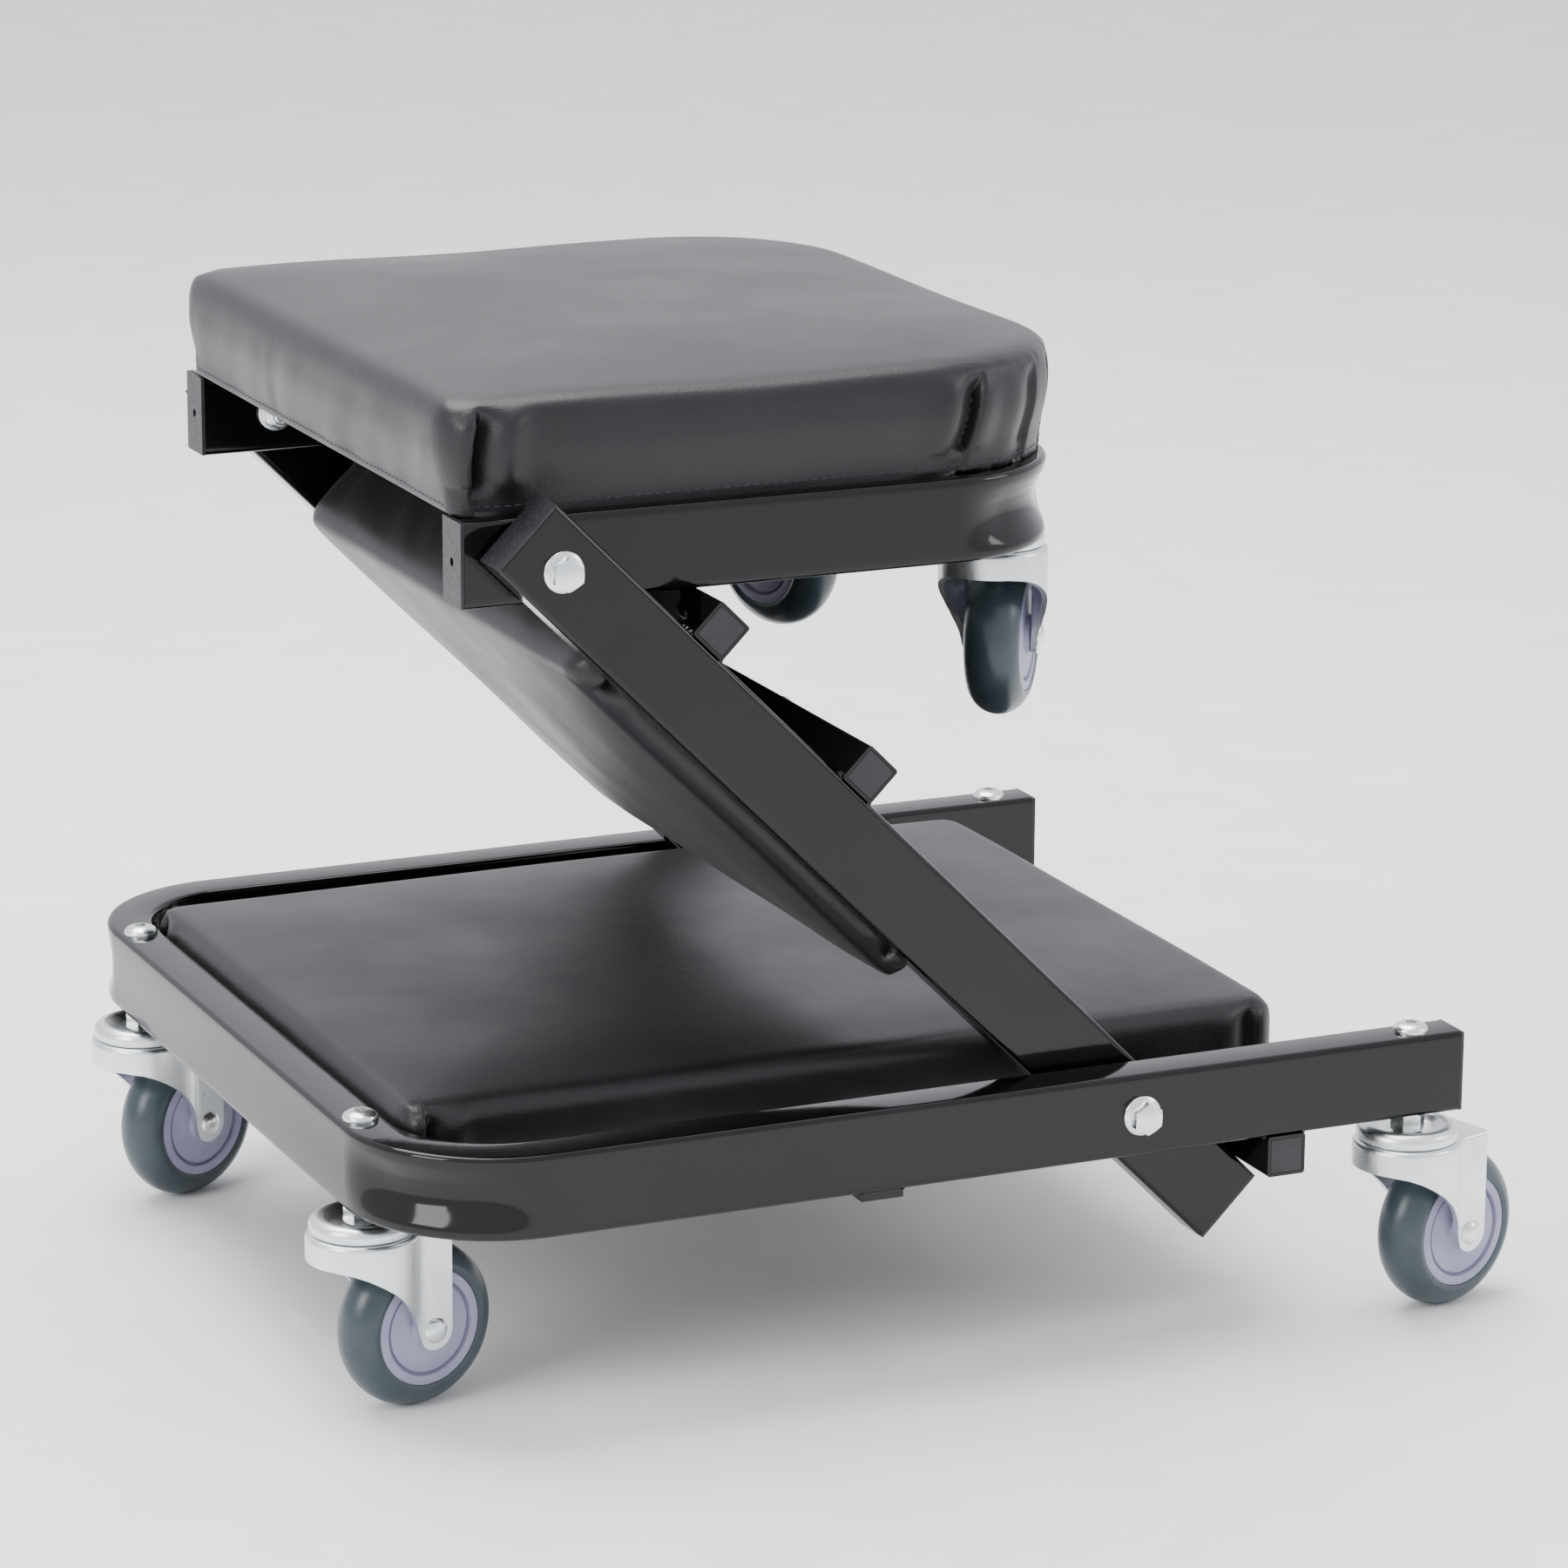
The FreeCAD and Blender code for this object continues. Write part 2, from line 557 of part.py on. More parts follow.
# The bent tube is made with its closed end at low X, so the seat's is turned half round.
seat_drills = [rod(f"seat_stem_hole{sign + 1}", "Dims.stemHole", "2 * Dims.railHigh",
                   X="Dims.railWide / 2 - Dims.seatLong", Y=y, Z="0 - Dims.railHigh")
               for name, x, y, sign in seat_stems]
seat_drills.append(rod("seat_pivot_hole", "Dims.boltRadius + Dims.boltPlay",
                       "2 * Dims.frameWide", axis="Y", X=SEAT_END, Y="0 - Dims.frameWide"))
seat_drills += [rod(f"seat_screw_hole{end}{sign + 1}", "Dims.screwRadius", "2 * Dims.railHigh",
                    X=f"{SEAT_END} - {x}", Y=f"{sign} * Dims.seatScrewSide", Z="0 - Dims.railHigh")
                for end, x in enumerate(SEAT_SCREW_X) for sign in (-1, 1)]
seat_tube = bent_tube("seat_frame", (size("seatLong"), "Dims.seatLong"), seat_half, seat_drills)
seat_tube.Placement = Placement(Vector(), Rotation(Vector(0, 0, 1), 180))
node(seat_tube, "seat_frame")
bind(seat_tube, X=f"{SEAT_X} - Dims.seatTail", Z=SEAT_Z)

seat_plates = pair("seat_plates", lambda name, sign: end_plate(
    name, f"{SEAT_END} - Dims.plateThick", f"{sign} * {SEAT_MIDDLE}", vent=True))
place(node(seat_plates, "seat_rail_end_plates"), "seat")


# ---------------------------------------------------------------- hinge hardware
def both(name, make):
    """Pieces made by make(name, sign) on each side, as one object of separate solids."""
    made = []
    for side, sign in (("right", -1), ("left", 1)):
        made += make(f"{name}_{side}", sign)
    return fuse(name, made)


def washer(name, radius, thick, X, start, sign):
    """Washer on a hinge axis. `start` is its inner face, counted out from the middle."""
    low = f"({sign} * ({start} + ({thick}) / 2) - ({thick}) / 2)"
    disc = rod(name + "_disc", radius, thick, axis="Y", X=X, Y=low)
    hole = rod(name + "_hole", "Dims.boltRadius", f"3 * ({thick})", axis="Y", X=X,
               Y=f"{low} - ({thick})")
    return cut(name, disc, [hole])


def hinge_bolt(name, sign, X, head, tip):
    """Flanged hexagon bolt. Its head sits on the face `head`, its shank ends at `tip`."""
    shank_low = f"{sign} * ({head} + {tip}) / 2 - ({head} - {tip}) / 2"
    shank = rod(name + "_shank", "Dims.boltRadius", f"{head} - {tip}", axis="Y", X=X, Y=shank_low)
    flange = rod(name + "_flange", "Dims.boltFlange", "Dims.boltFlangeThick", axis="Y", X=X,
                 Y=f"{sign} * ({head} + Dims.boltFlangeThick / 2) - Dims.boltFlangeThick / 2")
    grip = hexagon(name + "_grip", "Dims.boltHex", "Dims.boltHexHigh", axis="Y", X=X,
                   Y=f"{sign} * ({head} + Dims.boltFlangeThick + Dims.boltHexHigh / 2)"
                     " - Dims.boltHexHigh / 2")
    return [fuse(name, [shank, flange, grip])]


def hinge_nut(name, sign, X, face):
    """Hexagon lock nut whose outer face is at `face`, counted out from the middle."""
    low = f"({sign} * ({face} - Dims.nutHigh / 2) - Dims.nutHigh / 2)"
    body = hexagon(name + "_hex", "Dims.nutHex", "Dims.nutHigh", axis="Y", X=X, Y=low)
    hole = rod(name + "_thread", "Dims.boltRadius", "3 * Dims.nutHigh", axis="Y", X=X,
               Y=f"{low} - Dims.nutHigh")
    return [cut(name, body, [hole])]


def hinge(section, prefix, X, outer_face, middle_face, inner_face):
    """Bolts, washers and nuts of one hinge axis, on both sides.

    The head bears on outer_face, the spacing washer on middle_face (the inner face of the outer
    tube) and the nut stands a little off inner_face (the inner face of the inner tube).
    """
    nut_washer = f"({inner_face} - Dims.pivotGap - Dims.washerThick)"
    tip = f"({nut_washer} - Dims.nutHigh - Dims.washerThick)"
    bolts = both(prefix + "_bolts", lambda name, sign: hinge_bolt(name, sign, X, outer_face, tip))
    place(node(bolts, prefix + "_bolts"), section)
    washers = both(prefix + "_washers", lambda name, sign: [
        washer(name + "_spacer", "Dims.washerRadius", "Dims.spacerThick", X,
               f"({middle_face} - Dims.spacerThick)", sign),
        washer(name + "_inner", "Dims.washerRadius", "Dims.washerThick", X, nut_washer, sign)])
    place(node(washers, prefix + "_washers"), section)
    nuts = both(prefix + "_nuts", lambda name, sign: hinge_nut(name, sign, X, nut_washer))
    place(node(nuts, prefix + "_lock_nuts"), section)


hinge("base", "lower_hinge", BASE_PIVOT, LOWER_HALF, f"({LOWER_HALF} - Dims.railWide)", ARM_IN)
hinge("arms", "seat_hinge", "Dims.armSpan", ARM_OUT, ARM_IN, SEAT_IN)


# ---------------------------------------------------------------- pads
def plan_sketch(body, name, start, long, half, start_corner, end_corner):
    """Plan outline of a pad: a rectangle with its own corner radius at each end.

    Each argument is a (number, expression) pair. The outline runs from `start` along +X.
    """
    sketch = new_sketch(body, name, "XY_Plane")
    (x0, x0_link), (length, long_link), (side, side_link) = start, long, half
    (r0, r0_link), (r1, r1_link) = start_corner, end_corner
    x1 = x0 + length
    quarter = math.pi / 2
    lines = [((x0 + r0, side), (x1 - r1, side)), ((x1, side - r1), (x1, r1 - side)),
             ((x1 - r1, -side), (x0 + r0, -side)), ((x0, r0 - side), (x0, side - r0))]
    arcs = [((x1 - r1, side - r1), r1, 0), ((x1 - r1, r1 - side), r1, 3),
            ((x0 + r0, r0 - side), r0, 2), ((x0 + r0, side - r0), r0, 1)]
    sketch.addGeometry([Part.LineSegment(Vector(*a, 0), Vector(*b, 0)) for a, b in lines], False)
    for (x, y), radius, turn in arcs:
        circle = Part.Circle(Vector(x, y, 0), Vector(0, 0, 1), radius)
        sketch.addGeometry(Part.ArcOfCircle(circle, turn * quarter, (turn + 1) * quarter), False)
    for piece in range(4):
        hold(sketch, "Tangent", piece, 2, 4 + piece, 2)
        hold(sketch, "Tangent", 4 + piece, 1, (piece + 1) % 4, 1)
        hold(sketch, "Vertical" if piece % 2 else "Horizontal", piece)
    hold(sketch, "Equal", 4, 5)
    hold(sketch, "Equal", 6, 7)
    hold(sketch, "Radius", 4, r1, to=r1_link)
    hold(sketch, "Radius", 6, r0, to=r0_link)
    hold(sketch, "DistanceX", -1, 1, 3, 1, x0, to=x0_link)
    hold(sketch, "DistanceX", 3, 1, 1, 1, length, to=long_link)
    hold(sketch, "DistanceY", -1, 1, 0, 1, side, to=side_link)
    hold(sketch, "DistanceY", 2, 1, -1, 1, side, to=side_link)
    return sketch


def slab(name, start, long, half, corners, high, roll=None):
    """Flat pad of the given plan, standing on height 0, its top edge rolled if asked."""
    body = doc.addObject("PartDesign::Body", name)
    sketch = plan_sketch(body, name + "_plan", start, long, half, *corners)
    pad = body.newObject("PartDesign::Pad", name + "_slab")
    pad.Profile = sketch
    pad.setExpression("Length", high)
    if roll is None:
        return body
    doc.recompute()
    faces = pad.Shape.Faces
    top = max(range(len(faces)), key=lambda index: faces[index].CenterOfMass.z)
    edge = body.newObject("PartDesign::Fillet", name + "_roll")
    edge.Base = (pad, [f"Face{top + 1}"])
    edge.setExpression("Radius", roll)
    return body


def shrink(pair_value, link, amount):
    """A (number, expression) pair made smaller by some multiple of a driving dimension."""
    number, expression = pair_value
    return (number - amount * size(link), f"{expression} - {amount} * Dims.{link}")


def upholstered(section, prefix, start, long, end_corner, high, floor, holes):
    """Board and the cushion wrapped over it. `holes` are drilled in the board from below."""
    half = (size("padHalf"), "Dims.padHalf")
    corner = (size("padCorner"), "Dims.padCorner")
    cushion = slab(prefix + "_cushion_block", start, long, half, (corner, end_corner), high,
                   roll="Dims.padEdge")
    board_start = shrink(start, "boardInset", -1)
    board = slab(prefix + "_board_blank", board_start, shrink(long, "boardInset", 2),
                 shrink(half, "boardInset", 1),
                 ((size("boardCorner"), "Dims.boardCorner"), shrink(end_corner, "boardInset", 1)),
                 "Dims.boardThick")
    for body in (cushion, board):
        bind(body, Z=floor)
    place(node(cut(prefix + "_cushion_cut", cushion, [board]), prefix + "_cushion"), section)
    place(node(cut(prefix + "_board_cut", board, holes), prefix + "_board"), section)


def pad_screws(prefix, spots, under, floor):
    """Screws driven up into a board. Returns the holes they need in it."""
    screws, holes = [], []
    for number, (x, y) in enumerate(spots):
        shank = rod(f"{prefix}_shank{number}", "Dims.screwRadius",
                    f"{floor} - ({under}) + Dims.screwBite", X=x, Y=y, Z=under)
        head = dome(f"{prefix}_head{number}", "Dims.screwHead", "Dims.screwHeadHigh", up=-1,
                    X=x, Y=y, Z=under)
        screws.append(fuse(f"{prefix}_screw{number}", [shank, head]))
        holes.append(rod(f"{prefix}_pilot{number}", "Dims.screwRadius", "2 * Dims.screwBite",
                         X=x, Y=y, Z=f"{floor} - Dims.screwBite"))
    return screws, holes


PAD_END = (size("padCorner"), "Dims.padCorner")
SIDES = ("-1 * Dims.screwSide", "Dims.screwSide")
TUBE_UNDER = f"({UNDER_RAIL} - Dims.crossSize)"
STRAP_UNDER = f"({UNDER_RAIL} - Dims.strapThick)"

tube_screws, tube_pilots = pad_screws("back_tube", [(LOWER_CROSS, y) for y in SIDES],
                                      TUBE_UNDER, UNDER_RAIL)
strap_screws, strap_pilots = pad_screws("back_strap", [(STRAP_X, y) for y in SIDES],
                                        STRAP_UNDER, UNDER_RAIL)
place(node(fuse("back_screws", tube_screws + strap_screws), "back_board_screws"), "base")
back_start = (size("railWide") + size("backPadStart") - size("frameLong"),
              "Dims.railWide + Dims.backPadStart - Dims.frameLong")
upholstered("base", "back", back_start, (size("backPadLong"), "Dims.backPadLong"), PAD_END,
            "Dims.backPadHigh", UNDER_RAIL, tube_pilots + strap_pilots)

middle_screws, middle_pilots = pad_screws(
    "middle", [(x, y) for x in (UPPER_CROSS, "Dims.middleCross") for y in SIDES],
    TUBE_UNDER, UNDER_RAIL)
place(node(fuse("middle_screws", middle_screws), "middle_board_screws"), "arms")
upholstered("arms", "middle", (size("middlePadStart"), "Dims.middlePadStart"),
            (size("middlePadEnd") - size("middlePadStart"),
             "Dims.middlePadEnd - Dims.middlePadStart"), PAD_END,
            "Dims.middlePadHigh", UNDER_RAIL, middle_pilots)

OVER_RAIL = "(Dims.railHigh / 2)"
SEAT_SIDES = ("-1 * Dims.seatScrewSide", "Dims.seatScrewSide")
seat_screws, seat_pilots = pad_screws("seat", [(x, y) for x in SEAT_SCREW_X for y in SEAT_SIDES],
                                      UNDER_RAIL, OVER_RAIL)
place(node(fuse("seat_screws", seat_screws), "seat_board_screws"), "seat")
seat_pockets = [rod(f"seat_pocket{sign + 1}", "Dims.headPocket", "2 * Dims.headPocketDeep",
                    X=x, Y=y, Z=f"{OVER_RAIL} - Dims.headPocketDeep")
                for name, x, y, sign in seat_stems]
upholstered("seat", "seat", (-size("seatTail"), SEAT_END), (size("seatPadLong"), "Dims.seatPadLong"),
            (size("seatPadCorner"), "Dims.seatPadCorner"), "Dims.seatPadHigh", OVER_RAIL,
            seat_pilots + seat_pockets)


# ---------------------------------------------------------------- casters
# A caster is made about its stem, with the underside of the rail at height 0 and the wheel
# trailing along +X. Its fork, wheel and axle are then turned about the stem.
RAIL_TOP = "Dims.railHigh"
AXLE_Z = "(0 - Dims.axleDrop)"
CROWN_Z = "(0 - Dims.forkTop)"
BALL_Z = "(0 - (Dims.forkTop + Dims.capBottom) / 2)"
CROWN_UNDER = "(0 - Dims.forkTop - Dims.sheetThick)"


def rounded(name, item, radius, wanted):
    """Round the edges of an object that the test `wanted` picks."""
    doc.recompute()
    picked = [(number, radius, radius) for number, edge in enumerate(item.Shape.Edges, start=1)
              if wanted(edge)]
    result = doc.addObject("Part::Fillet", name)
    result.Base = item
    result.Edges = picked
    return result


def side_profile(name):
    """Side view of the fork as a thick slab: crown, skirt and a leg with a round lower end."""
    body = doc.addObject("PartDesign::Body", name)
    sketch = new_sketch(body, name + "_outline", "XZ_Plane")
    trail, drop, end = size("trail"), -size("axleDrop"), size("forkEnd")
    front, top, skirt = -size("forkRadius") - 1, -size("forkTop") + 1, -size("forkSkirt")
    leg = -size("legStart")
    reach = math.hypot(trail - leg, drop - skirt)
    slope = math.atan2(drop - skirt, trail - leg) - math.asin(end / reach)
    run = math.sqrt(reach ** 2 - end ** 2)
    toe = (leg + run * math.cos(slope), skirt + run * math.sin(slope))
    circle = Part.Circle(Vector(trail, drop, 0), Vector(0, 0, 1), end)
    points = [(leg, skirt), (front, skirt), (front, top), (trail + end, top), (trail + end, drop)]
    lines = [Part.LineSegment(Vector(*a, 0), Vector(*b, 0)) for a, b in zip(points, points[1:])]
    arc = Part.ArcOfCircle(circle, math.atan2(toe[1] - drop, toe[0] - trail), 2 * math.pi)
    sketch.addGeometry(lines + [arc, Part.LineSegment(Vector(*toe, 0), Vector(leg, skirt, 0))],
                       False)
    for number in range(3):
        hold(sketch, "Coincident", number, 2, number + 1, 1)
    hold(sketch, "Tangent", 3, 2, 4, 2)
    hold(sketch, "Tangent", 4, 1, 5, 1)
    hold(sketch, "Coincident", 5, 2, 0, 1)
    for number, kind in enumerate(("Horizontal", "Vertical", "Horizontal", "Vertical")):
        hold(sketch, kind, number)
    hold(sketch, "DistanceX", 0, 1, -1, 1, -leg, to="Dims.legStart")
    hold(sketch, "DistanceY", 0, 1, -1, 1, -skirt, to="Dims.forkSkirt")
    hold(sketch, "DistanceX", 0, 2, -1, 1, -front, to="Dims.forkRadius + 1")
    hold(sketch, "DistanceY", 2, 1, -1, 1, -top, to="Dims.forkTop - 1")
    hold(sketch, "DistanceX", -1, 1, 4, 3, trail, to="Dims.trail")
    hold(sketch, "DistanceY", 4, 3, -1, 1, -drop, to="Dims.axleDrop")
    hold(sketch, "Radius", 4, end, to="Dims.forkEnd")
    pad = body.newObject("PartDesign::Pad", name + "_slab")
    pad.Profile = sketch
    pad.Midplane = True
    pad.setExpression("Length", "4 * Dims.forkRadius")
    return body


def fork(name):
    """Pressed sheet fork: a round crown with a skirt, running back into two flat legs."""
    deep = "(Dims.axleDrop + Dims.forkEnd + 1)"
    drum = rod(name + "_drum", "Dims.forkRadius", f"{deep} - Dims.forkTop", Z=f"0 - {deep}")
    rear = block(name + "_rear", "Dims.trail + Dims.forkEnd", "2 * Dims.forkHalf",
                 f"{deep} - Dims.forkTop", Y="0 - Dims.forkHalf", Z=f"0 - {deep}")
    outside = fuse(name + "_outside", [drum, rear])
    crown_z = -size("forkTop")
    outside = rounded(name + "_soft", outside, size("forkRoll"), lambda edge: all(
        abs(vertex.Z - crown_z) < 1e-6 for vertex in edge.Vertexes)
        and edge.CenterOfMass.x < size("trail"))
    hollow_high = f"{deep} - Dims.forkTop - Dims.sheetThick + 1"
    inner = rod(name + "_inner", "Dims.forkRadius - Dims.sheetThick", hollow_high,
                Z=f"0 - {deep} - 1")
    slot = block(name + "_slot", "3 * Dims.trail", "2 * (Dims.forkHalf - Dims.sheetThick)",
                 hollow_high, Y="Dims.sheetThick - Dims.forkHalf", Z=f"0 - {deep} - 1")
    race = doc.addObject("Part::Torus", name + "_race")
    bind(race, Radius1="Dims.ballPitch", Radius2="Dims.ballRadius + Dims.raceGap", Z=BALL_Z)
    king = rod(name + "_king_hole", "Dims.kingHoleRadius", "Dims.forkSkirt", Z="0 - Dims.forkSkirt")
    axle_hole = rod(name + "_axle_hole", "Dims.axleRadius", "4 * Dims.forkHalf", axis="Y",
                    X="Dims.trail", Y="-2 * Dims.forkHalf", Z=AXLE_Z)
    shell = cut(name + "_shell", outside, [inner, slot, race, king, axle_hole])
    return common(name + "_pressing", shell, side_profile(name + "_side"))


def axle(name):
    """Riveted axle with a low round head at each end."""
    shank = rod(name + "_shank", "Dims.axleRadius", "2 * Dims.forkHalf", axis="Y",
                X="Dims.trail", Y="0 - Dims.forkHalf", Z=AXLE_Z)
    heads = [dome(f"{name}_head{sign + 1}", "Dims.rivetRadius", "Dims.rivetHigh", axis="Y", up=sign,
                  X="Dims.trail", Y=f"{sign} * Dims.forkHalf", Z=AXLE_Z) for sign in (-1, 1)]
    return fuse(name, [shank] + heads)


def hub(name):
    """Moulded wheel centre: rim, sunk ring on each face, disc and boss, bored for the axle."""
    def disc(part, radius, wide, start=None):
        low = f"0 - ({wide}) / 2" if start is None else start
        return rod(f"{name}_{part}", radius, wide, axis="Y", X="Dims.trail", Y=low, Z=AXLE_Z)

    wheel = fuse(name + "_blank", [disc("rim", "Dims.hubRadius", "Dims.hubWide"),
                                   disc("boss", "Dims.hubBoss", "Dims.hubBossWide")])
    tools = [disc("bore", "Dims.axleRadius + Dims.boltPlay", "2 * Dims.treadWide")]
    for sign in (-1, 1):
        low = f"{sign} * Dims.hubWide / 2 - Dims.grooveDeep"
        deep = "2 * Dims.grooveDeep"
        ring = disc(f"ring{sign + 1}", "Dims.hubGroove", deep, low)
        core = disc(f"core{sign + 1}", "Dims.hubGroove - Dims.grooveWide", "4 * Dims.grooveDeep",
                    f"{low} - Dims.grooveDeep")
        tools.append(cut(f"{name}_groove{sign + 1}", ring, [core]))
    return cut(name, wheel, tools)


def tyre(name):
    """Round-treaded tyre moulded on the hub."""
    body = doc.addObject("PartDesign::Body", name)
    sketch = new_sketch(body, name + "_section", "YZ_Plane")
    inner, shoulder, crown = size("hubRadius"), size("shoulderRadius"), size("wheelRadius")
    seat, half = size("hubWide") / 2, size("treadWide") / 2
    tread = Part.Arc(Vector(half, shoulder, 0), Vector(0, crown, 0), Vector(-half, shoulder, 0))
    sketch.addGeometry([Part.LineSegment(Vector(-seat, inner, 0), Vector(seat, inner, 0)),
                        Part.LineSegment(Vector(seat, inner, 0), Vector(half, shoulder, 0)), tread,
                        Part.LineSegment(Vector(-half, shoulder, 0), Vector(-seat, inner, 0))],
                       False)
    hold(sketch, "Coincident", 0, 2, 1, 1)
    hold(sketch, "Coincident", 1, 2, 2, 1)
    hold(sketch, "Coincident", 2, 2, 3, 1)
    hold(sketch, "Coincident", 3, 2, 0, 1)
    hold(sketch, "Symmetric", 0, 1, 0, 2, -2)
    hold(sketch, "Symmetric", 2, 1, 2, 2, -2)
    hold(sketch, "DistanceX", 0, 1, 0, 2, 2 * seat, to="Dims.hubWide")
    hold(sketch, "DistanceX", 2, 2, 2, 1, 2 * half, to="Dims.treadWide")
    hold(sketch, "DistanceY", -1, 1, 0, 1, inner, to="Dims.hubRadius")
    hold(sketch, "DistanceY", -1, 1, 2, 1, shoulder, to="Dims.shoulderRadius")
    rise = "(Dims.wheelRadius - Dims.shoulderRadius)"
    radius = (half ** 2 + (crown - shoulder) ** 2) / (2 * (crown - shoulder))
    hold(sketch, "Radius", 2, radius,
         to=f"((Dims.treadWide / 2) ^ 2 + {rise} ^ 2) / (2 * {rise})")
    turn = body.newObject("PartDesign::Revolution", name + "_turn")
    turn.Profile = sketch
    turn.ReferenceAxis = (sketch, ["H_Axis"])
    turn.Angle = 360
    return body


def race_cap(name, X, Y, Z):
    """Dished steel cap over the balls, clamped to the stem."""
    disc = rod(name + "_disc", "Dims.capRadius", "Dims.capBottom - Dims.capTop",
               Z="0 - Dims.capBottom")
    bowl = rod(name + "_bowl", "Dims.capBowl", "2 * Dims.capBottom",
               Z="Dims.capPlate - Dims.capBottom")
    top = -size("capTop")
    rim = rounded(name + "_rim", cut(name + "_dish", disc, [bowl]), size("capRoll"),
                  lambda edge: abs(edge.BoundBox.ZMin - top) < 1e-6)
    race = doc.addObject("Part::Torus", name + "_race")
    bind(race, Radius1="Dims.ballPitch", Radius2="Dims.ballRadius", Z=BALL_Z)
    hole = rod(name + "_hole", "Dims.kingRadius", "2 * Dims.capBottom", Z="-2 * Dims.capBottom")
    return bind(cut(name, rim, [race, hole]), X=X, Y=Y, Z=Z)


def king_nut(name, X, Y, Z):
    """Hexagon stem nut with a riveted foot that holds the fork up."""
    head = hexagon(name + "_hex", "Dims.kingHex", "Dims.kingHexHigh", Z="0 - Dims.kingHexHigh")
    foot_top = f"({CROWN_UNDER} - Dims.footGap)"
    neck = rod(name + "_neck", "Dims.kingRadius", f"0 - {foot_top}", Z=foot_top)
    foot = rod(name + "_foot", "Dims.kingFoot", "Dims.footThick", Z=f"{foot_top} - Dims.footThick")
    socket = rod(name + "_socket", "Dims.stemRadius", "2 * Dims.stemDepth",
                 Z="0 - Dims.stemDepth")
    return bind(cut(name, fuse(name + "_solid", [head, neck, foot]), [socket]), X=X, Y=Y, Z=Z)


def stem_screw(name, X, Y, Z):
    """Button-head socket screw down through the rail into the stem nut."""
    shank = rod(name + "_shank", "Dims.stemRadius", f"{RAIL_TOP} + Dims.stemDepth",
                Z="0 - Dims.stemDepth")
    head = dome(name + "_dome", "Dims.stemHead", "Dims.stemHeadHigh", Z=RAIL_TOP)
    socket = hexagon(name + "_socket", "Dims.socketHex", "2 * Dims.socketDeep",
                     Z=f"{RAIL_TOP} + Dims.stemHeadHigh - Dims.socketDeep")
    return bind(cut(name, fuse(name + "_solid", [shank, head]), [socket]), X=X, Y=Y, Z=Z)


def ball_rings(label, stems):
    """Loose balls of every caster in one section, as one group of spheres."""
    pitch, radius = size("ballPitch"), size("ballRadius")
    height = -(size("forkTop") + size("capBottom")) / 2
    ring = [Part.makeSphere(radius, Vector(pitch * math.cos(turn), pitch * math.sin(turn), height))
            for turn in (2 * math.pi * number / BALLS_PER_RACE for number in range(BALLS_PER_RACE))]
    spheres = []
    for stem in stems:
        for ball in ring:
            moved = ball.copy()
            moved.translate(stem)
            spheres.append(moved)
    group = doc.addObject("Part::Feature", label)
    group.Shape = Part.makeCompound(spheres)
    return group


BASE_Z = "Dims.railUnder"
SEAT_UNDER = f"{SEAT_Z} - Dims.railHigh / 2"
SWIVELS = {"back_right": 15, "back_left": 25, "middle_right": 16.5, "middle_left": -16.5,
           "head_right": 54, "head_left": 107}


def casters(section, stems, origin_x, floor):
    """All casters of one section: their stems as shared groups, the turning parts one by one.

    Returns where the stems meet the underside of the rail.
    """
    places = [(f"{name}_{'right' if sign < 0 else 'left'}", f"{origin_x} + {x}", y)
              for name, x, y, sign in stems]
    makers = (("caster_race_caps", race_cap), ("caster_stem_nuts", king_nut),
              ("caster_screws", stem_screw))
    for label, maker in makers:
        made = [maker(f"{label}_{name}", x, y, floor) for name, x, y in places]
        node(fuse(f"{section}_{label}_group", made), f"{section}_{label}")
    tops = []
    for name, x, y in places:
        for label, maker in (("fork", fork), ("axle", axle), ("hub", hub), ("tyre", tyre)):
            piece = maker(f"{name}_{label}_piece")
            if label == "tyre":
                bind(piece, X="Dims.trail", Z=AXLE_Z)
                holder = doc.addObject("Part::Compound", f"{name}_{label}_holder")
                holder.Links = [piece]
                piece = holder
            piece.Placement = Placement(Vector(), Rotation(Vector(0, 0, 1), SWIVELS[name]))
            bind(piece, X=x, Y=y, Z=floor)
            node(piece, f"{name}_caster_{label}")
        tops.append(piece)
    doc.recompute()
    return [piece.Placement.Base for piece in tops]


base_stems = casters("lower", lower_stems, "Dims.openEnd", BASE_Z)
node(ball_rings("lower_balls", base_stems), "lower_caster_balls")
head_stems = casters("seat", seat_stems, SEAT_X, SEAT_UNDER)
node(ball_rings("seat_balls", head_stems), "seat_caster_balls")


# ---------------------------------------------------------------- checks and files
doc.recompute()
for item in doc.Objects:
    if any(word in item.State for word in ("Invalid", "Error")):
        raise RuntimeError(f"{item.Label} failed: {item.State}")

os.makedirs("parts", exist_ok=True)
for item in parts:
    shape = item.Shape
    if shape.isNull() or not shape.isValid():
        raise RuntimeError(f"{item.Label} has a bad shape")
    shape.exportStep(f"parts/{item.Label}.step")

box = Part.makeCompound([item.Shape for item in parts]).BoundBox
print(len(parts), "pieces")
print("X", round(box.XMin, 2), round(box.XMax, 2), "Y", round(box.YMin, 2), round(box.YMax, 2),
      "Z", round(box.ZMin, 2), round(box.ZMax, 2))
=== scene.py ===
"""Looks of the folding mechanics creeper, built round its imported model.

Every new piece is modelled in millimetres and turned to metres as it is finished. The CAD tubes
and boards stay and get materials; the pads, bent frames, casters and hinge hardware are replaced
by finished pieces that stand in the same places.
"""
import json
import math

import bmesh
import bpy
from mathutils import Matrix, Vector, noise
from mathutils.bvhtree import BVHTree
import numpy as np


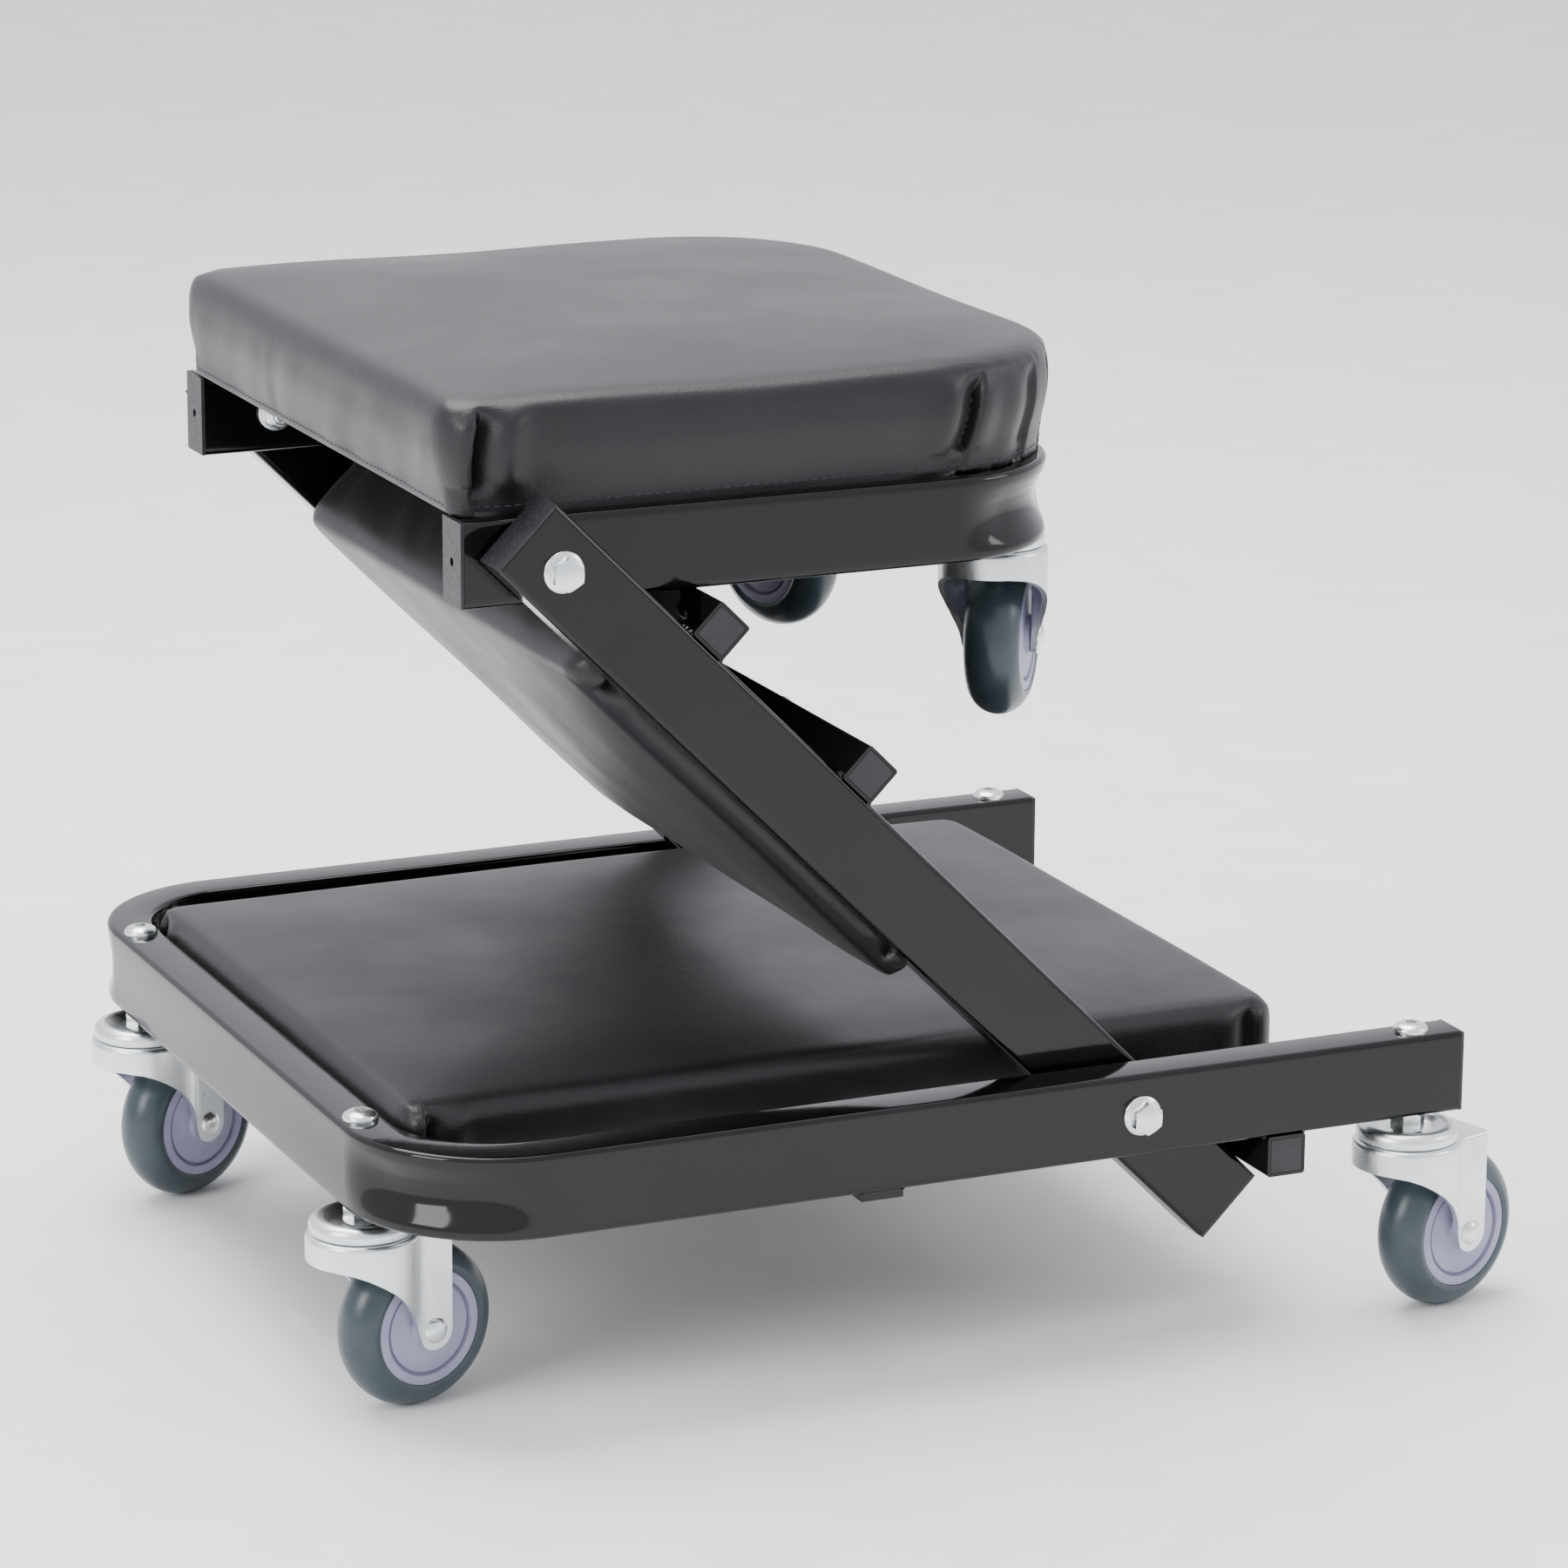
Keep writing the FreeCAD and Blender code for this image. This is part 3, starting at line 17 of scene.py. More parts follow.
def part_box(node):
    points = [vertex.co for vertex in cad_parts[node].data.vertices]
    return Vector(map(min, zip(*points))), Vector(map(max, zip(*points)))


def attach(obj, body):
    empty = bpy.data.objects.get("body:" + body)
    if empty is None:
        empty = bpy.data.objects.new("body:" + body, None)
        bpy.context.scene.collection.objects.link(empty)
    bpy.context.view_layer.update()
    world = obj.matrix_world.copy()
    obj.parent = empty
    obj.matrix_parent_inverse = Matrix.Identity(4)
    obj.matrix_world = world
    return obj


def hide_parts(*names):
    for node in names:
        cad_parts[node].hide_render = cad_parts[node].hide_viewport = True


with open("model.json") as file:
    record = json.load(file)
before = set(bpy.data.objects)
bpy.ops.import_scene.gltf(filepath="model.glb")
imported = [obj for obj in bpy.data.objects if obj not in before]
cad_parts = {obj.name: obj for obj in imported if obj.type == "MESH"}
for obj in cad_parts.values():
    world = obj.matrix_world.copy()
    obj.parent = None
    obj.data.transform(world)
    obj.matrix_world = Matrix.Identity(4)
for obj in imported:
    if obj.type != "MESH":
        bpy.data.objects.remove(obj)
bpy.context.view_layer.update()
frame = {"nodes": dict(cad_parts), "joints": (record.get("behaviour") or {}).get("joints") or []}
SCENE = bpy.context.scene
MM = 0.001

JOINTS = {joint["name"]: joint for joint in frame["joints"]}
CASTERS = {"back_right": "base", "back_left": "base", "middle_right": "base",
           "middle_left": "base", "head_right": "seat", "head_left": "seat"}


# ---------------------------------------------------------------- camera, floor and light
def camera():
    """Long lens, a little above and to the right of the seat's hinge side."""
    heading, tilt, roll = math.radians(24.125), math.radians(15.108), math.radians(0.363)
    data = bpy.data.cameras.new("camera")
    data.lens = 135.6
    data.clip_end = 50
    eye = bpy.data.objects.new("camera", data)
    eye.matrix_world = (Matrix.Translation((-1.0901, -2.4514, 0.9463))
                        @ Matrix.Rotation(-heading, 4, "Z")
                        @ Matrix.Rotation(math.pi / 2 - tilt, 4, "X")
                        @ Matrix.Rotation(roll, 4, "Z"))
    SCENE.collection.objects.link(eye)
    SCENE.camera = eye


def softbox(name, place, target, size, power):
    """Square area light at `place`, facing `target`."""
    data = bpy.data.lights.new(name, "AREA")
    data.shape = "SQUARE"
    data.size = size
    data.energy = power
    lamp = bpy.data.objects.new(name, data)
    aim = Vector(target) - Vector(place)
    lamp.matrix_world = Matrix.Translation(place) @ aim.to_track_quat("-Z", "Y").to_matrix().to_4x4()
    SCENE.collection.objects.link(lamp)


def studio():
    """Plain pale floor, a pale room and soft light from above, the left and the right."""
    world = bpy.data.worlds.new("room")
    world.use_nodes = True
    room = world.node_tree.nodes["Background"]
    room.inputs["Color"].default_value = (0.93, 0.95, 1.0, 1)
    room.inputs["Strength"].default_value = 1.4
    SCENE.world = world
    bm = bmesh.new()
    bmesh.ops.create_grid(bm, x_segments=1, y_segments=1, size=12)
    floor = new_object("floor", bm)
    floor.data.materials.append(floor_paper())
    softbox("overhead", (-0.3, 0.5, 2.6), (0, 0, 0.2), 2.2, 120)
    softbox("left", (-2.6, -1.0, 1.5), (0, 0, 0.2), 1.2, 42)
    softbox("right", (2.4, -1.4, 1.4), (0, 0, 0.2), 1.0, 16)


# ---------------------------------------------------------------- materials
def linear(code):
    """sRGB hex code as linear RGBA."""
    channels = [int(code[start:start + 2], 16) / 255 for start in (1, 3, 5)]
    return tuple(c / 12.92 if c <= 0.04045 else ((c + 0.055) / 1.055) ** 2.4
                 for c in channels) + (1,)


def add(tree, kind, values=(), links=(), **settings):
    """Add one node with its settings, socket values and links."""
    item = tree.nodes.new(kind)
    for name, value in settings.items():
        setattr(item, name, value)
    for name, value in dict(values).items():
        item.inputs[name].default_value = value
    for name, socket in dict(links).items():
        tree.links.new(socket, item.inputs[name])
    return item


def start(name):
    """New material: its node tree, shader and object coordinates."""
    material = bpy.data.materials.new(name)
    material.use_nodes = True
    tree = material.node_tree
    shader = tree.nodes["Principled BSDF"]
    place = add(tree, "ShaderNodeTexCoord").outputs["Object"]
    return material, tree, shader, place


def grain(tree, place, spacing, detail=2.0, roughness=0.5):
    """Noise whose blotches are `spacing` millimetres apart."""
    return add(tree, "ShaderNodeTexNoise", {"Scale": 1 / (spacing * MM), "Detail": detail,
                                            "Roughness": roughness},
               {"Vector": place}).outputs["Fac"]


def shades(tree, factor, dark, light, low=0.3, high=0.7):
    """Colour that runs from dark to light as factor goes from low to high."""
    ramp = add(tree, "ShaderNodeValToRGB", links={"Fac": factor})
    ramp.color_ramp.elements[0].position = low
    ramp.color_ramp.elements[1].position = high
    ramp.color_ramp.elements[0].color = linear(dark)
    ramp.color_ramp.elements[1].color = linear(light)
    return ramp.outputs["Color"]


def spread(tree, factor, low, high):
    """Number that runs from low to high as factor does from 0.3 to 0.7."""
    return add(tree, "ShaderNodeMapRange",
               {"From Min": 0.3, "From Max": 0.7, "To Min": low, "To Max": high},
               {"Value": factor}).outputs["Result"]


def relief(tree, height, deep, under=None):
    """Bump of `deep` millimetres, laid over another bump if one is given."""
    links = {"Height": height}
    if under is not None:
        links["Normal"] = under
    return add(tree, "ShaderNodeBump", {"Strength": 1.0, "Distance": deep * MM},
               links).outputs["Normal"]


def floor_paper():
    """Seamless backdrop paper, matt: almost white, with the faintest mottle."""
    material, tree, shader, place = start("backdrop_paper")
    mottle = grain(tree, place, 60)
    tree.links.new(shades(tree, mottle, "#eeeeee", "#f3f3f3"), shader.inputs["Base Color"])
    shader.inputs["Roughness"].default_value = 0.85
    return material


def powder_coat():
    """Gloss black powder coat on steel tube: near mirror, with a slight orange peel."""
    material, tree, shader, place = start("gloss_powder_coat")
    peel = grain(tree, place, 5, detail=1.0)
    haze = grain(tree, place, 38, detail=4.0)
    tree.links.new(shades(tree, haze, "#050506", "#0a0a0b"), shader.inputs["Base Color"])
    tree.links.new(spread(tree, haze, 0.07, 0.13), shader.inputs["Roughness"])
    tree.links.new(relief(tree, peel, 0.03), shader.inputs["Normal"])
    shader.inputs["Specular IOR Level"].default_value = 0.34
    return material


def thin_coat():
    """Thinly coated saw cuts and plates: the same black, but dull and rough to the eye."""
    material, tree, shader, place = start("thin_powder_coat")
    rough = grain(tree, place, 1.6, detail=5.0, roughness=0.7)
    haze = grain(tree, place, 12, detail=3.0)
    tree.links.new(shades(tree, haze, "#0d0e10", "#191a1d"), shader.inputs["Base Color"])
    tree.links.new(spread(tree, rough, 0.32, 0.55), shader.inputs["Roughness"])
    tree.links.new(relief(tree, rough, 0.12), shader.inputs["Normal"])
    return material


def vinyl():
    """Upholstery vinyl, calendered and embossed: a satin black skin with a fine hide grain."""
    material, tree, shader, place = start("black_upholstery_vinyl")
    pores = add(tree, "ShaderNodeTexVoronoi", {"Scale": 1 / (1.1 * MM)}, {"Vector": place},
                feature="F1")
    creases = grain(tree, place, 3.5, detail=4.0, roughness=0.6)
    hand = grain(tree, place, 55, detail=3.0)
    tree.links.new(shades(tree, hand, "#0b0c0e", "#111215"), shader.inputs["Base Color"])
    tree.links.new(spread(tree, hand, 0.36, 0.46), shader.inputs["Roughness"])
    fine = relief(tree, pores.outputs["Distance"], 0.05)
    tree.links.new(relief(tree, creases, 0.10, under=fine), shader.inputs["Normal"])
    shader.inputs["Specular IOR Level"].default_value = 0.4
    shader.inputs["Sheen Weight"].default_value = 0.06
    shader.inputs["Sheen Roughness"].default_value = 0.4
    return material


def thread():
    """Bonded polyester thread, twisted: black with a slight shine."""
    material, tree, shader, place = start("black_thread")
    twist = grain(tree, place, 0.6)
    tree.links.new(shades(tree, twist, "#1c1d20", "#33353a"), shader.inputs["Base Color"])
    shader.inputs["Roughness"].default_value = 0.5
    tree.links.new(relief(tree, twist, 0.05), shader.inputs["Normal"])
    return material


def plywood():
    """Birch plywood, rotary cut and coloured near black: long soft brown figure, open pores."""
    material, tree, shader, place = start("near_black_plywood")
    along = add(tree, "ShaderNodeMapping", {"Scale": (0.12, 1.0, 1.0)}, {"Vector": place})
    figure = grain(tree, along.outputs["Vector"], 14, detail=5.0)
    fibre = grain(tree, along.outputs["Vector"], 1.2, detail=2.0)
    # Dark brown to near black over the whole board, whichever way a face points.
    tree.links.new(shades(tree, figure, "#1f1813", "#33271d"), shader.inputs["Base Color"])
    tree.links.new(spread(tree, fibre, 0.55, 0.75), shader.inputs["Roughness"])
    tree.links.new(relief(tree, fibre, 0.08), shader.inputs["Normal"])
    return material


def bright_zinc():
    """Bright zinc plate on turned and headed steel: silver, with a faint blue and straw tint."""
    material, tree, shader, place = start("bright_zinc_plate")
    tint = grain(tree, place, 7, detail=2.0)
    marks = grain(tree, place, 1.1, detail=4.0, roughness=0.65)
    tree.links.new(shades(tree, tint, "#e0e6ec", "#eceae2"), shader.inputs["Base Color"])
    shader.inputs["Metallic"].default_value = 1.0
    tree.links.new(spread(tree, marks, 0.18, 0.34), shader.inputs["Roughness"])
    tree.links.new(relief(tree, marks, 0.03), shader.inputs["Normal"])
    return material


def pressed_zinc():
    """Zinc plate on pressed sheet: paler and duller, with a fine mottle from the sheet."""
    material, tree, shader, place = start("pressed_zinc_plate")
    spangle = grain(tree, place, 2.4, detail=5.0, roughness=0.7)
    smear = grain(tree, place, 16, detail=3.0)
    tree.links.new(shades(tree, smear, "#dadee0", "#eceeee"), shader.inputs["Base Color"])
    shader.inputs["Metallic"].default_value = 1.0
    tree.links.new(spread(tree, spangle, 0.26, 0.42), shader.inputs["Roughness"])
    tree.links.new(relief(tree, spangle, 0.04), shader.inputs["Normal"])
    return material


def ball_steel():
    """Hardened bearing steel, ground and polished: a dark clean mirror."""
    material, tree, shader, place = start("bearing_steel")
    film = grain(tree, place, 3)
    tree.links.new(shades(tree, film, "#a9abad", "#c3c5c6"), shader.inputs["Base Color"])
    shader.inputs["Metallic"].default_value = 1.0
    shader.inputs["Roughness"].default_value = 0.1
    return material


def tyre_rubber():
    """Cast polyurethane tread: slate green, smooth and softly shiny, a little dusty."""
    material, tree, shader, place = start("slate_polyurethane")
    cloud = grain(tree, place, 22, detail=4.0)
    skin = grain(tree, place, 1.4, detail=3.0)
    tree.links.new(shades(tree, cloud, "#29343a", "#364248"), shader.inputs["Base Color"])
    tree.links.new(spread(tree, cloud, 0.26, 0.38), shader.inputs["Roughness"])
    tree.links.new(relief(tree, skin, 0.03), shader.inputs["Normal"])
    return material


def hub_plastic():
    """Moulded polypropylene: lavender grey, matt with the mould's fine spark finish."""
    material, tree, shader, place = start("lavender_polypropylene")
    flow = grain(tree, place, 18, detail=2.0)
    spark = grain(tree, place, 0.7, detail=2.0)
    tree.links.new(shades(tree, flow, "#8886a0", "#9795ad"), shader.inputs["Base Color"])
    tree.links.new(spread(tree, spark, 0.38, 0.5), shader.inputs["Roughness"])
    tree.links.new(relief(tree, spark, 0.03), shader.inputs["Normal"])
    return material


# ---------------------------------------------------------------- mesh helpers
def smooth(low, high, value):
    """0 below low, 1 above high, with a soft step between."""
    share = min(max((value - low) / (high - low), 0), 1)
    return share * share * (3 - 2 * share)


def new_object(name, bm):
    """Object from a bmesh, linked to the scene. The bmesh is freed."""
    mesh = bpy.data.meshes.new(name)
    bm.to_mesh(mesh)
    bm.free()
    piece = bpy.data.objects.new(name, mesh)
    SCENE.collection.objects.link(piece)
    return piece


def to_metres(bm, place=Matrix.Identity(4)):
    """Millimetres to metres, moved by `place`, which is in metres."""
    bmesh.ops.transform(bm, matrix=place @ Matrix.Scale(MM, 4), verts=bm.verts)


def finish_piece(name, bm, material, body, stands_for=(), crease=32):
    """Smooth-shaded object in its material, riding on a body and standing for CAD nodes."""
    piece = new_object(name, bm)
    piece.data.materials.append(material)
    piece.data.shade_smooth()
    piece.data.set_sharp_from_angle(angle=math.radians(crease))
    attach(piece, body)
    if stands_for:
        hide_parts(*stands_for)
    return piece


def verts_of(made):
    """The vertices in what a mesh operator made."""
    return [item for item in made if isinstance(item, bmesh.types.BMVert)]


def joined(pieces):
    """One bmesh from several. The others are freed."""
    whole = bmesh.new()
    for piece in pieces:
        mesh = bpy.data.meshes.new("part")
        piece.to_mesh(mesh)
        piece.free()
        whole.from_mesh(mesh)
        bpy.data.meshes.remove(mesh)
    return whole


def copy_at(source, place):
    """Copy of a bmesh moved by a matrix."""
    twin = source.copy()
    bmesh.ops.transform(twin, matrix=place, verts=twin.verts)
    return twin


def lathe(profile, steps=64, soft=0.0, segments=3):
    """Turned shape about Z from (radius, height) points, its inner corners rounded by `soft`.

    A profile whose ends lie on the axis makes a closed solid; so does one that ends where it
    begins.
    """
    bm = bmesh.new()
    closed = profile[0] == profile[-1]
    points = profile[:-1] if closed else profile
    verts = [bm.verts.new((radius, 0, height)) for radius, height in points]
    pairs = list(zip(verts, verts[1:]))
    if closed:
        pairs.append((verts[-1], verts[0]))
    for pair in pairs:
        bm.edges.new(pair)
    if soft:
        corners = verts if closed else verts[1:-1]
        bmesh.ops.bevel(bm, geom=corners, offset=soft, affect="VERTICES", segments=segments,
                        profile=0.5, material=-1)
    bmesh.ops.spin(bm, geom=bm.verts[:] + bm.edges[:], axis=(0, 0, 1), cent=(0, 0, 0),
                   angle=math.tau, steps=steps, use_merge=True)
    bmesh.ops.remove_doubles(bm, verts=bm.verts, dist=0.001)
    bmesh.ops.recalc_face_normals(bm, faces=bm.faces)
    return bm


ALONG_Y = Matrix.Rotation(-math.pi / 2, 4, "X")     # turns +Z to +Y


def hex_reach(flat, turn):
    """Distance from a hexagon's middle to its side, in one direction."""
    sixth = math.pi / 3
    return flat / math.cos((turn + sixth / 2) % sixth - sixth / 2)


def hex_prism(across, high, chamfer=0.6, both_ends=False):
    """Hexagon on Z with the round chamfer that a turned blank leaves on its corners."""
    flat = across / 2
    bm = bmesh.new()
    bmesh.ops.create_cone(bm, cap_ends=True, segments=72, radius1=flat, radius2=flat, depth=high)
    bmesh.ops.translate(bm, vec=(0, 0, high / 2), verts=bm.verts)
    for end in ((high,), (high, 0))[both_ends]:
        cap = next(face for face in bm.faces
                   if len(face.verts) > 4 and abs(face.calc_center_median().z - end) < 1e-4)
        bmesh.ops.inset_region(bm, faces=[cap], thickness=chamfer)
    for vert in bm.verts:
        radius = math.hypot(vert.co.x, vert.co.y)
        if radius < flat - 0.01:
            continue
        turn = math.atan2(vert.co.y, vert.co.x)
        wide = hex_reach(flat, turn)
        vert.co.x, vert.co.y = wide * math.cos(turn), wide * math.sin(turn)
        drop = (wide - flat + chamfer) * math.tan(math.radians(30))
        if vert.co.z > high / 2:
            vert.co.z -= drop
        elif both_ends:
            vert.co.z += drop
    return bm


# ---------------------------------------------------------------- bent frame tubes
RAIL_WIDE, RAIL_HIGH, RAIL_CORNER = 22.0, 38.0, 2.5
BEND_OUTER = 70.0
PINCH_DEEP, PINCH_HALF = 5.6, 15.0


def rail_section(bm, y):
    """Closed loop of the tube's section at X = 0, finely divided down both side walls."""
    bmesh.ops.create_grid(bm, x_segments=1, y_segments=1, size=0.5,
                          matrix=Matrix.Rotation(math.pi / 2, 4, "Y"))
    bmesh.ops.scale(bm, vec=(1, RAIL_WIDE, RAIL_HIGH), verts=bm.verts)
    bmesh.ops.bevel(bm, geom=bm.verts[:], offset=RAIL_CORNER, affect="VERTICES", segments=5,
                    profile=0.5, material=-1)
    bmesh.ops.delete(bm, geom=bm.faces[:], context="FACES_ONLY")
    walls = [edge for edge in bm.edges if edge.calc_length() > RAIL_HIGH - 3 * RAIL_CORNER]
    bmesh.ops.subdivide_edges(bm, edges=walls, cuts=15)
    bmesh.ops.translate(bm, vec=(0, y, 0), verts=bm.verts)
    return bm.edges[:]


def drawn_in(vert, middle, side):
    """Draws in the outer wall of a bend, deepest at mid height, with two faint wrinkles."""
    arm = Vector((vert.co.x - middle.x, vert.co.y - middle.y))
    radius = arm.length
    if radius < BEND_OUTER - RAIL_WIDE + 2 or arm.x > 0 or arm.y * side < 0:
        return
    turn = math.degrees(math.atan2(-arm.x, arm.y * side)) / 90
    reach = min(turn, 1 - turn)
    swell = smooth(0, 0.3, reach)
    height = vert.co.z / PINCH_HALF
    if abs(height) < 1:
        outward = min(max((radius - (BEND_OUTER - 6)) / 6, 0), 1)
        deep = PINCH_DEEP * (1 - height ** 2) ** 1.5 * swell * outward
        if height > 0.4:
            deep += 0.35 * swell * outward * math.sin((vert.co.z - 9) * 1.6)
        factor = (radius - deep) / radius
        vert.co.x = middle.x + arm.x * factor
        vert.co.y = middle.y + arm.y * factor


def bent_rail(long, half, closed_end, end_x):
    """U of rectangular tube. `closed_end` is -1 if the bends are at the low X end, else +1."""
    bm = bmesh.new()
    y = half - RAIL_WIDE / 2
    loop = rail_section(bm, y)
    straight = long - BEND_OUTER
    quarter_steps = 26

    def rim(made):
        ring = set(verts_of(made))
        return [g for g in made if isinstance(g, bmesh.types.BMEdge) and ring.issuperset(g.verts)]

    def push(edges, vec):
        made = bmesh.ops.extrude_edge_only(bm, edges=edges)["geom"]
        bmesh.ops.translate(bm, vec=vec, verts=verts_of(made))
        return rim(made)

    def turn(edges, middle):
        made = bmesh.ops.spin(bm, geom=edges, cent=middle, axis=(0, 0, 1), angle=math.pi / 2,
                              steps=quarter_steps)["geom_last"]
        return rim(made)

    loop = push(loop, (-straight, 0, 0))
    loop = turn(loop, (-straight, half - BEND_OUTER, 0))
    loop = push(loop, (0, -2 * (half - BEND_OUTER), 0))
    loop = turn(loop, (-straight, BEND_OUTER - half, 0))
    loop = push(loop, (straight, 0, 0))
    bmesh.ops.remove_doubles(bm, verts=bm.verts, dist=0.001)
    for side in (1, -1):
        middle = Vector((-straight, side * (half - BEND_OUTER)))
        for vert in bm.verts:
            drawn_in(vert, middle, side)
    bmesh.ops.holes_fill(bm, edges=[edge for edge in bm.edges if edge.is_boundary], sides=0)
    bmesh.ops.recalc_face_normals(bm, faces=bm.faces)
    if closed_end > 0:
        bmesh.ops.rotate(bm, cent=(0, 0, 0), matrix=Matrix.Rotation(math.pi, 3, "Z"), verts=bm.verts)
    bmesh.ops.translate(bm, vec=(end_x, 0, 0), verts=bm.verts)
    return bm


def frame_tubes(coat):
    """The two bent frames, with soft bends whose outer walls are drawn in."""
    for node, closed_end in (("lower_frame", -1), ("seat_frame", 1)):
        low, high = (Vector(corner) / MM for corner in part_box(node))
        open_x = high.x if closed_end < 0 else low.x
        bm = bent_rail(high.x - low.x, high.y, closed_end, open_x)
        to_metres(bm, Matrix.Translation((0, 0, (low.z + high.z) / 2 * MM)))
        body = "base" if node == "lower_frame" else "seat"
        finish_piece(node + "_tube", bm, coat, body, [node])


# ---------------------------------------------------------------- casters
# Measured from the underside of the rail at the stem, wheel trailing along +X.
TRAIL, AXLE_DROP = 27.0, 61.0
CROWN, SHEET = -13.0, 2.5
DRUM, LEG_HALF, LEG_BACK = 25.0, 17.0, 36.0


def fork_outline(bm, radius, half, back, z):
    """Plan of the fork as one face: a round drum running into two straight legs."""
    bmesh.ops.create_circle(bm, cap_ends=False, segments=96, radius=radius)
    bmesh.ops.delete(bm, geom=[vert for vert in bm.verts
                               if vert.co.x > 0 and abs(vert.co.y) < half - 0.2], context="VERTS")
    ends = sorted((vert for vert in bm.verts if len(vert.link_edges) == 1), key=lambda v: v.co.y)
    shoulder = math.sqrt(radius ** 2 - half ** 2)
    for vert, side in zip(ends, (-1, 1)):
        vert.co = (shoulder, side * half, 0)
    corners = [bm.verts.new((back, side * half, 0)) for side in (-1, 1)]
    bm.edges.new((ends[0], corners[0]))
    bm.edges.new((corners[0], corners[1]))
    bm.edges.new((corners[1], ends[1]))
    bmesh.ops.bevel(bm, geom=ends, offset=5.0, affect="VERTICES", segments=6, profile=0.5,
                    material=-1)
    face = bmesh.ops.contextual_create(bm, geom=bm.edges[:])["faces"][0]
    bmesh.ops.translate(bm, vec=(0, 0, z), verts=bm.verts)
    return face


def prism(bm, face, vec):
    """Extrude a face into a closed solid."""
    made = bmesh.ops.extrude_face_region(bm, geom=[face])["geom"]
    bmesh.ops.translate(bm, vec=vec, verts=verts_of(made))
    bmesh.ops.recalc_face_normals(bm, faces=bm.faces)


def boolean(base, tool, operation):
    """Apply one object to another with a Boolean modifier, and remove the tool."""
    modifier = base.modifiers.new("cut", "BOOLEAN")
    modifier.operation = operation
    modifier.object = tool
    modifier.solver = "EXACT"
    apply_modifiers(base)
    bpy.data.objects.remove(tool)


def apply_modifiers(piece):
    """Replace an object's mesh by its evaluated mesh."""
    graph = bpy.context.evaluated_depsgraph_get()
    mesh = bpy.data.meshes.new_from_object(piece.evaluated_get(graph))
    piece.modifiers.clear()
    old = piece.data
    piece.data = mesh
    bpy.data.meshes.remove(old)


def side_view():
    """Side profile of the fork as a solid slab: skirt, swept leg and round lower end."""
    end = 9.0
    bm = bmesh.new()
    points = [(-30, -25), (-30, -5), (36, -5), (36, -61)]
    points += [(TRAIL + end * math.cos(turn), -AXLE_DROP - end * math.sin(turn))
               for turn in (math.pi * step / 14 for step in range(1, 12))]
    points += [(15.2, -55), (11.6, -48.5), (6.8, -42.2), (0.8, -36.6), (-5.5, -32.2),
               (-11.5, -28.6), (-17, -26.2), (-22.5, -25.1)]
    verts = [bm.verts.new((x, 40, z)) for x, z in points]
    prism(bm, bm.faces.new(verts), (0, -80, 0))
    return bm


def fork():
    """Pressed sheet fork in millimetres, with rounded shoulder and sheet edges."""
    outer = bmesh.new()
    face = fork_outline(outer, DRUM, LEG_HALF, LEG_BACK, CROWN)
    prism(outer, face, (0, 0, -60))
    top = [edge for edge in outer.edges if all(abs(v.co.z - CROWN) < 0.01 for v in edge.verts)
           and not all(v.co.x > LEG_BACK - 0.1 for v in edge.verts)]
    bmesh.ops.bevel(outer, geom=top, offset=2.6, affect="EDGES", segments=5, profile=0.5,
                    material=-1)
    inner = bmesh.new()
    face = fork_outline(inner, DRUM - SHEET, LEG_HALF - SHEET, LEG_BACK + 10, CROWN - SHEET)
    prism(inner, face, (0, 0, -70))
    body = new_object("fork_blank", outer)
    boolean(body, new_object("fork_inside", inner), "DIFFERENCE")
    boolean(body, new_object("fork_side", side_view()), "INTERSECT")
    soft = body.modifiers.new("soft", "BEVEL")
    soft.width = 0.5
    soft.segments = 2
    soft.angle_limit = math.radians(50)
    apply_modifiers(body)
    bm = bmesh.new()
    bm.from_mesh(body.data)
    bpy.data.objects.remove(body)
    return bm


def on_axle(bm):
    """Lay a shape that was turned about Z along the wheel's axle."""
    bmesh.ops.transform(bm, matrix=ALONG_Y, verts=bm.verts)
    bmesh.ops.translate(bm, vec=(TRAIL, 0, -AXLE_DROP), verts=bm.verts)
    return bm


def axle_rivet():
    """Axle with a domed rivet head on both legs, in millimetres, lying along Y."""
    half, dome, head = LEG_HALF, 2.8, 5.8
    curve = [(head * math.cos(turn), half + dome * math.sin(turn))
             for turn in (math.pi / 2 * step / 7 for step in range(1, 7))]
    side = [(head, half - 0.1), (head, half + 0.5)] + curve[1:] + [(0, half + dome)]
    profile = [(0, -y) for r, y in side[-1:]] + [(r, -y) for r, y in side[-2::-1]]
    profile += [(4, -half), (4, half)] + side
    bm = lathe(profile, steps=48)
    return on_axle(bm)


def tyre():
    """Round tyre in millimetres, lying along Y."""
    seat, rim, shoulder, crown, half = 12.3, 26.5, 28.6, 38.0, 13.0
    radius = (half ** 2 + (crown - shoulder) ** 2) / (2 * (crown - shoulder))
    sweep = math.asin(half / radius)
    if crown - shoulder > radius:
        sweep = math.pi - sweep
    tread = [(crown - radius + radius * math.cos(turn), radius * math.sin(turn))
             for turn in (sweep * (step / 12 - 1) for step in range(25))]
    profile = [(rim, -seat)] + tread + [(rim, seat), (rim, -seat)]
    bm = lathe(profile, steps=112)
    return on_axle(bm)


def wheel_hub():
    """Moulded hub in millimetres: proud rim, dark groove, flat disc and a boss on the axle."""
    face = [(4.08, 14.3), (8.4, 14.3), (9.4, 12.2), (20.4, 11.7), (20.9, 9.8), (21.8, 9.8),
            (22.1, 12.5), (26.2, 12.3), (26.5, 11.6)]
    profile = face + [(r, -y) for r, y in reversed(face)] + [face[0]]
    bm = lathe(profile, steps=96, soft=0.22, segments=2)
    return on_axle(bm)


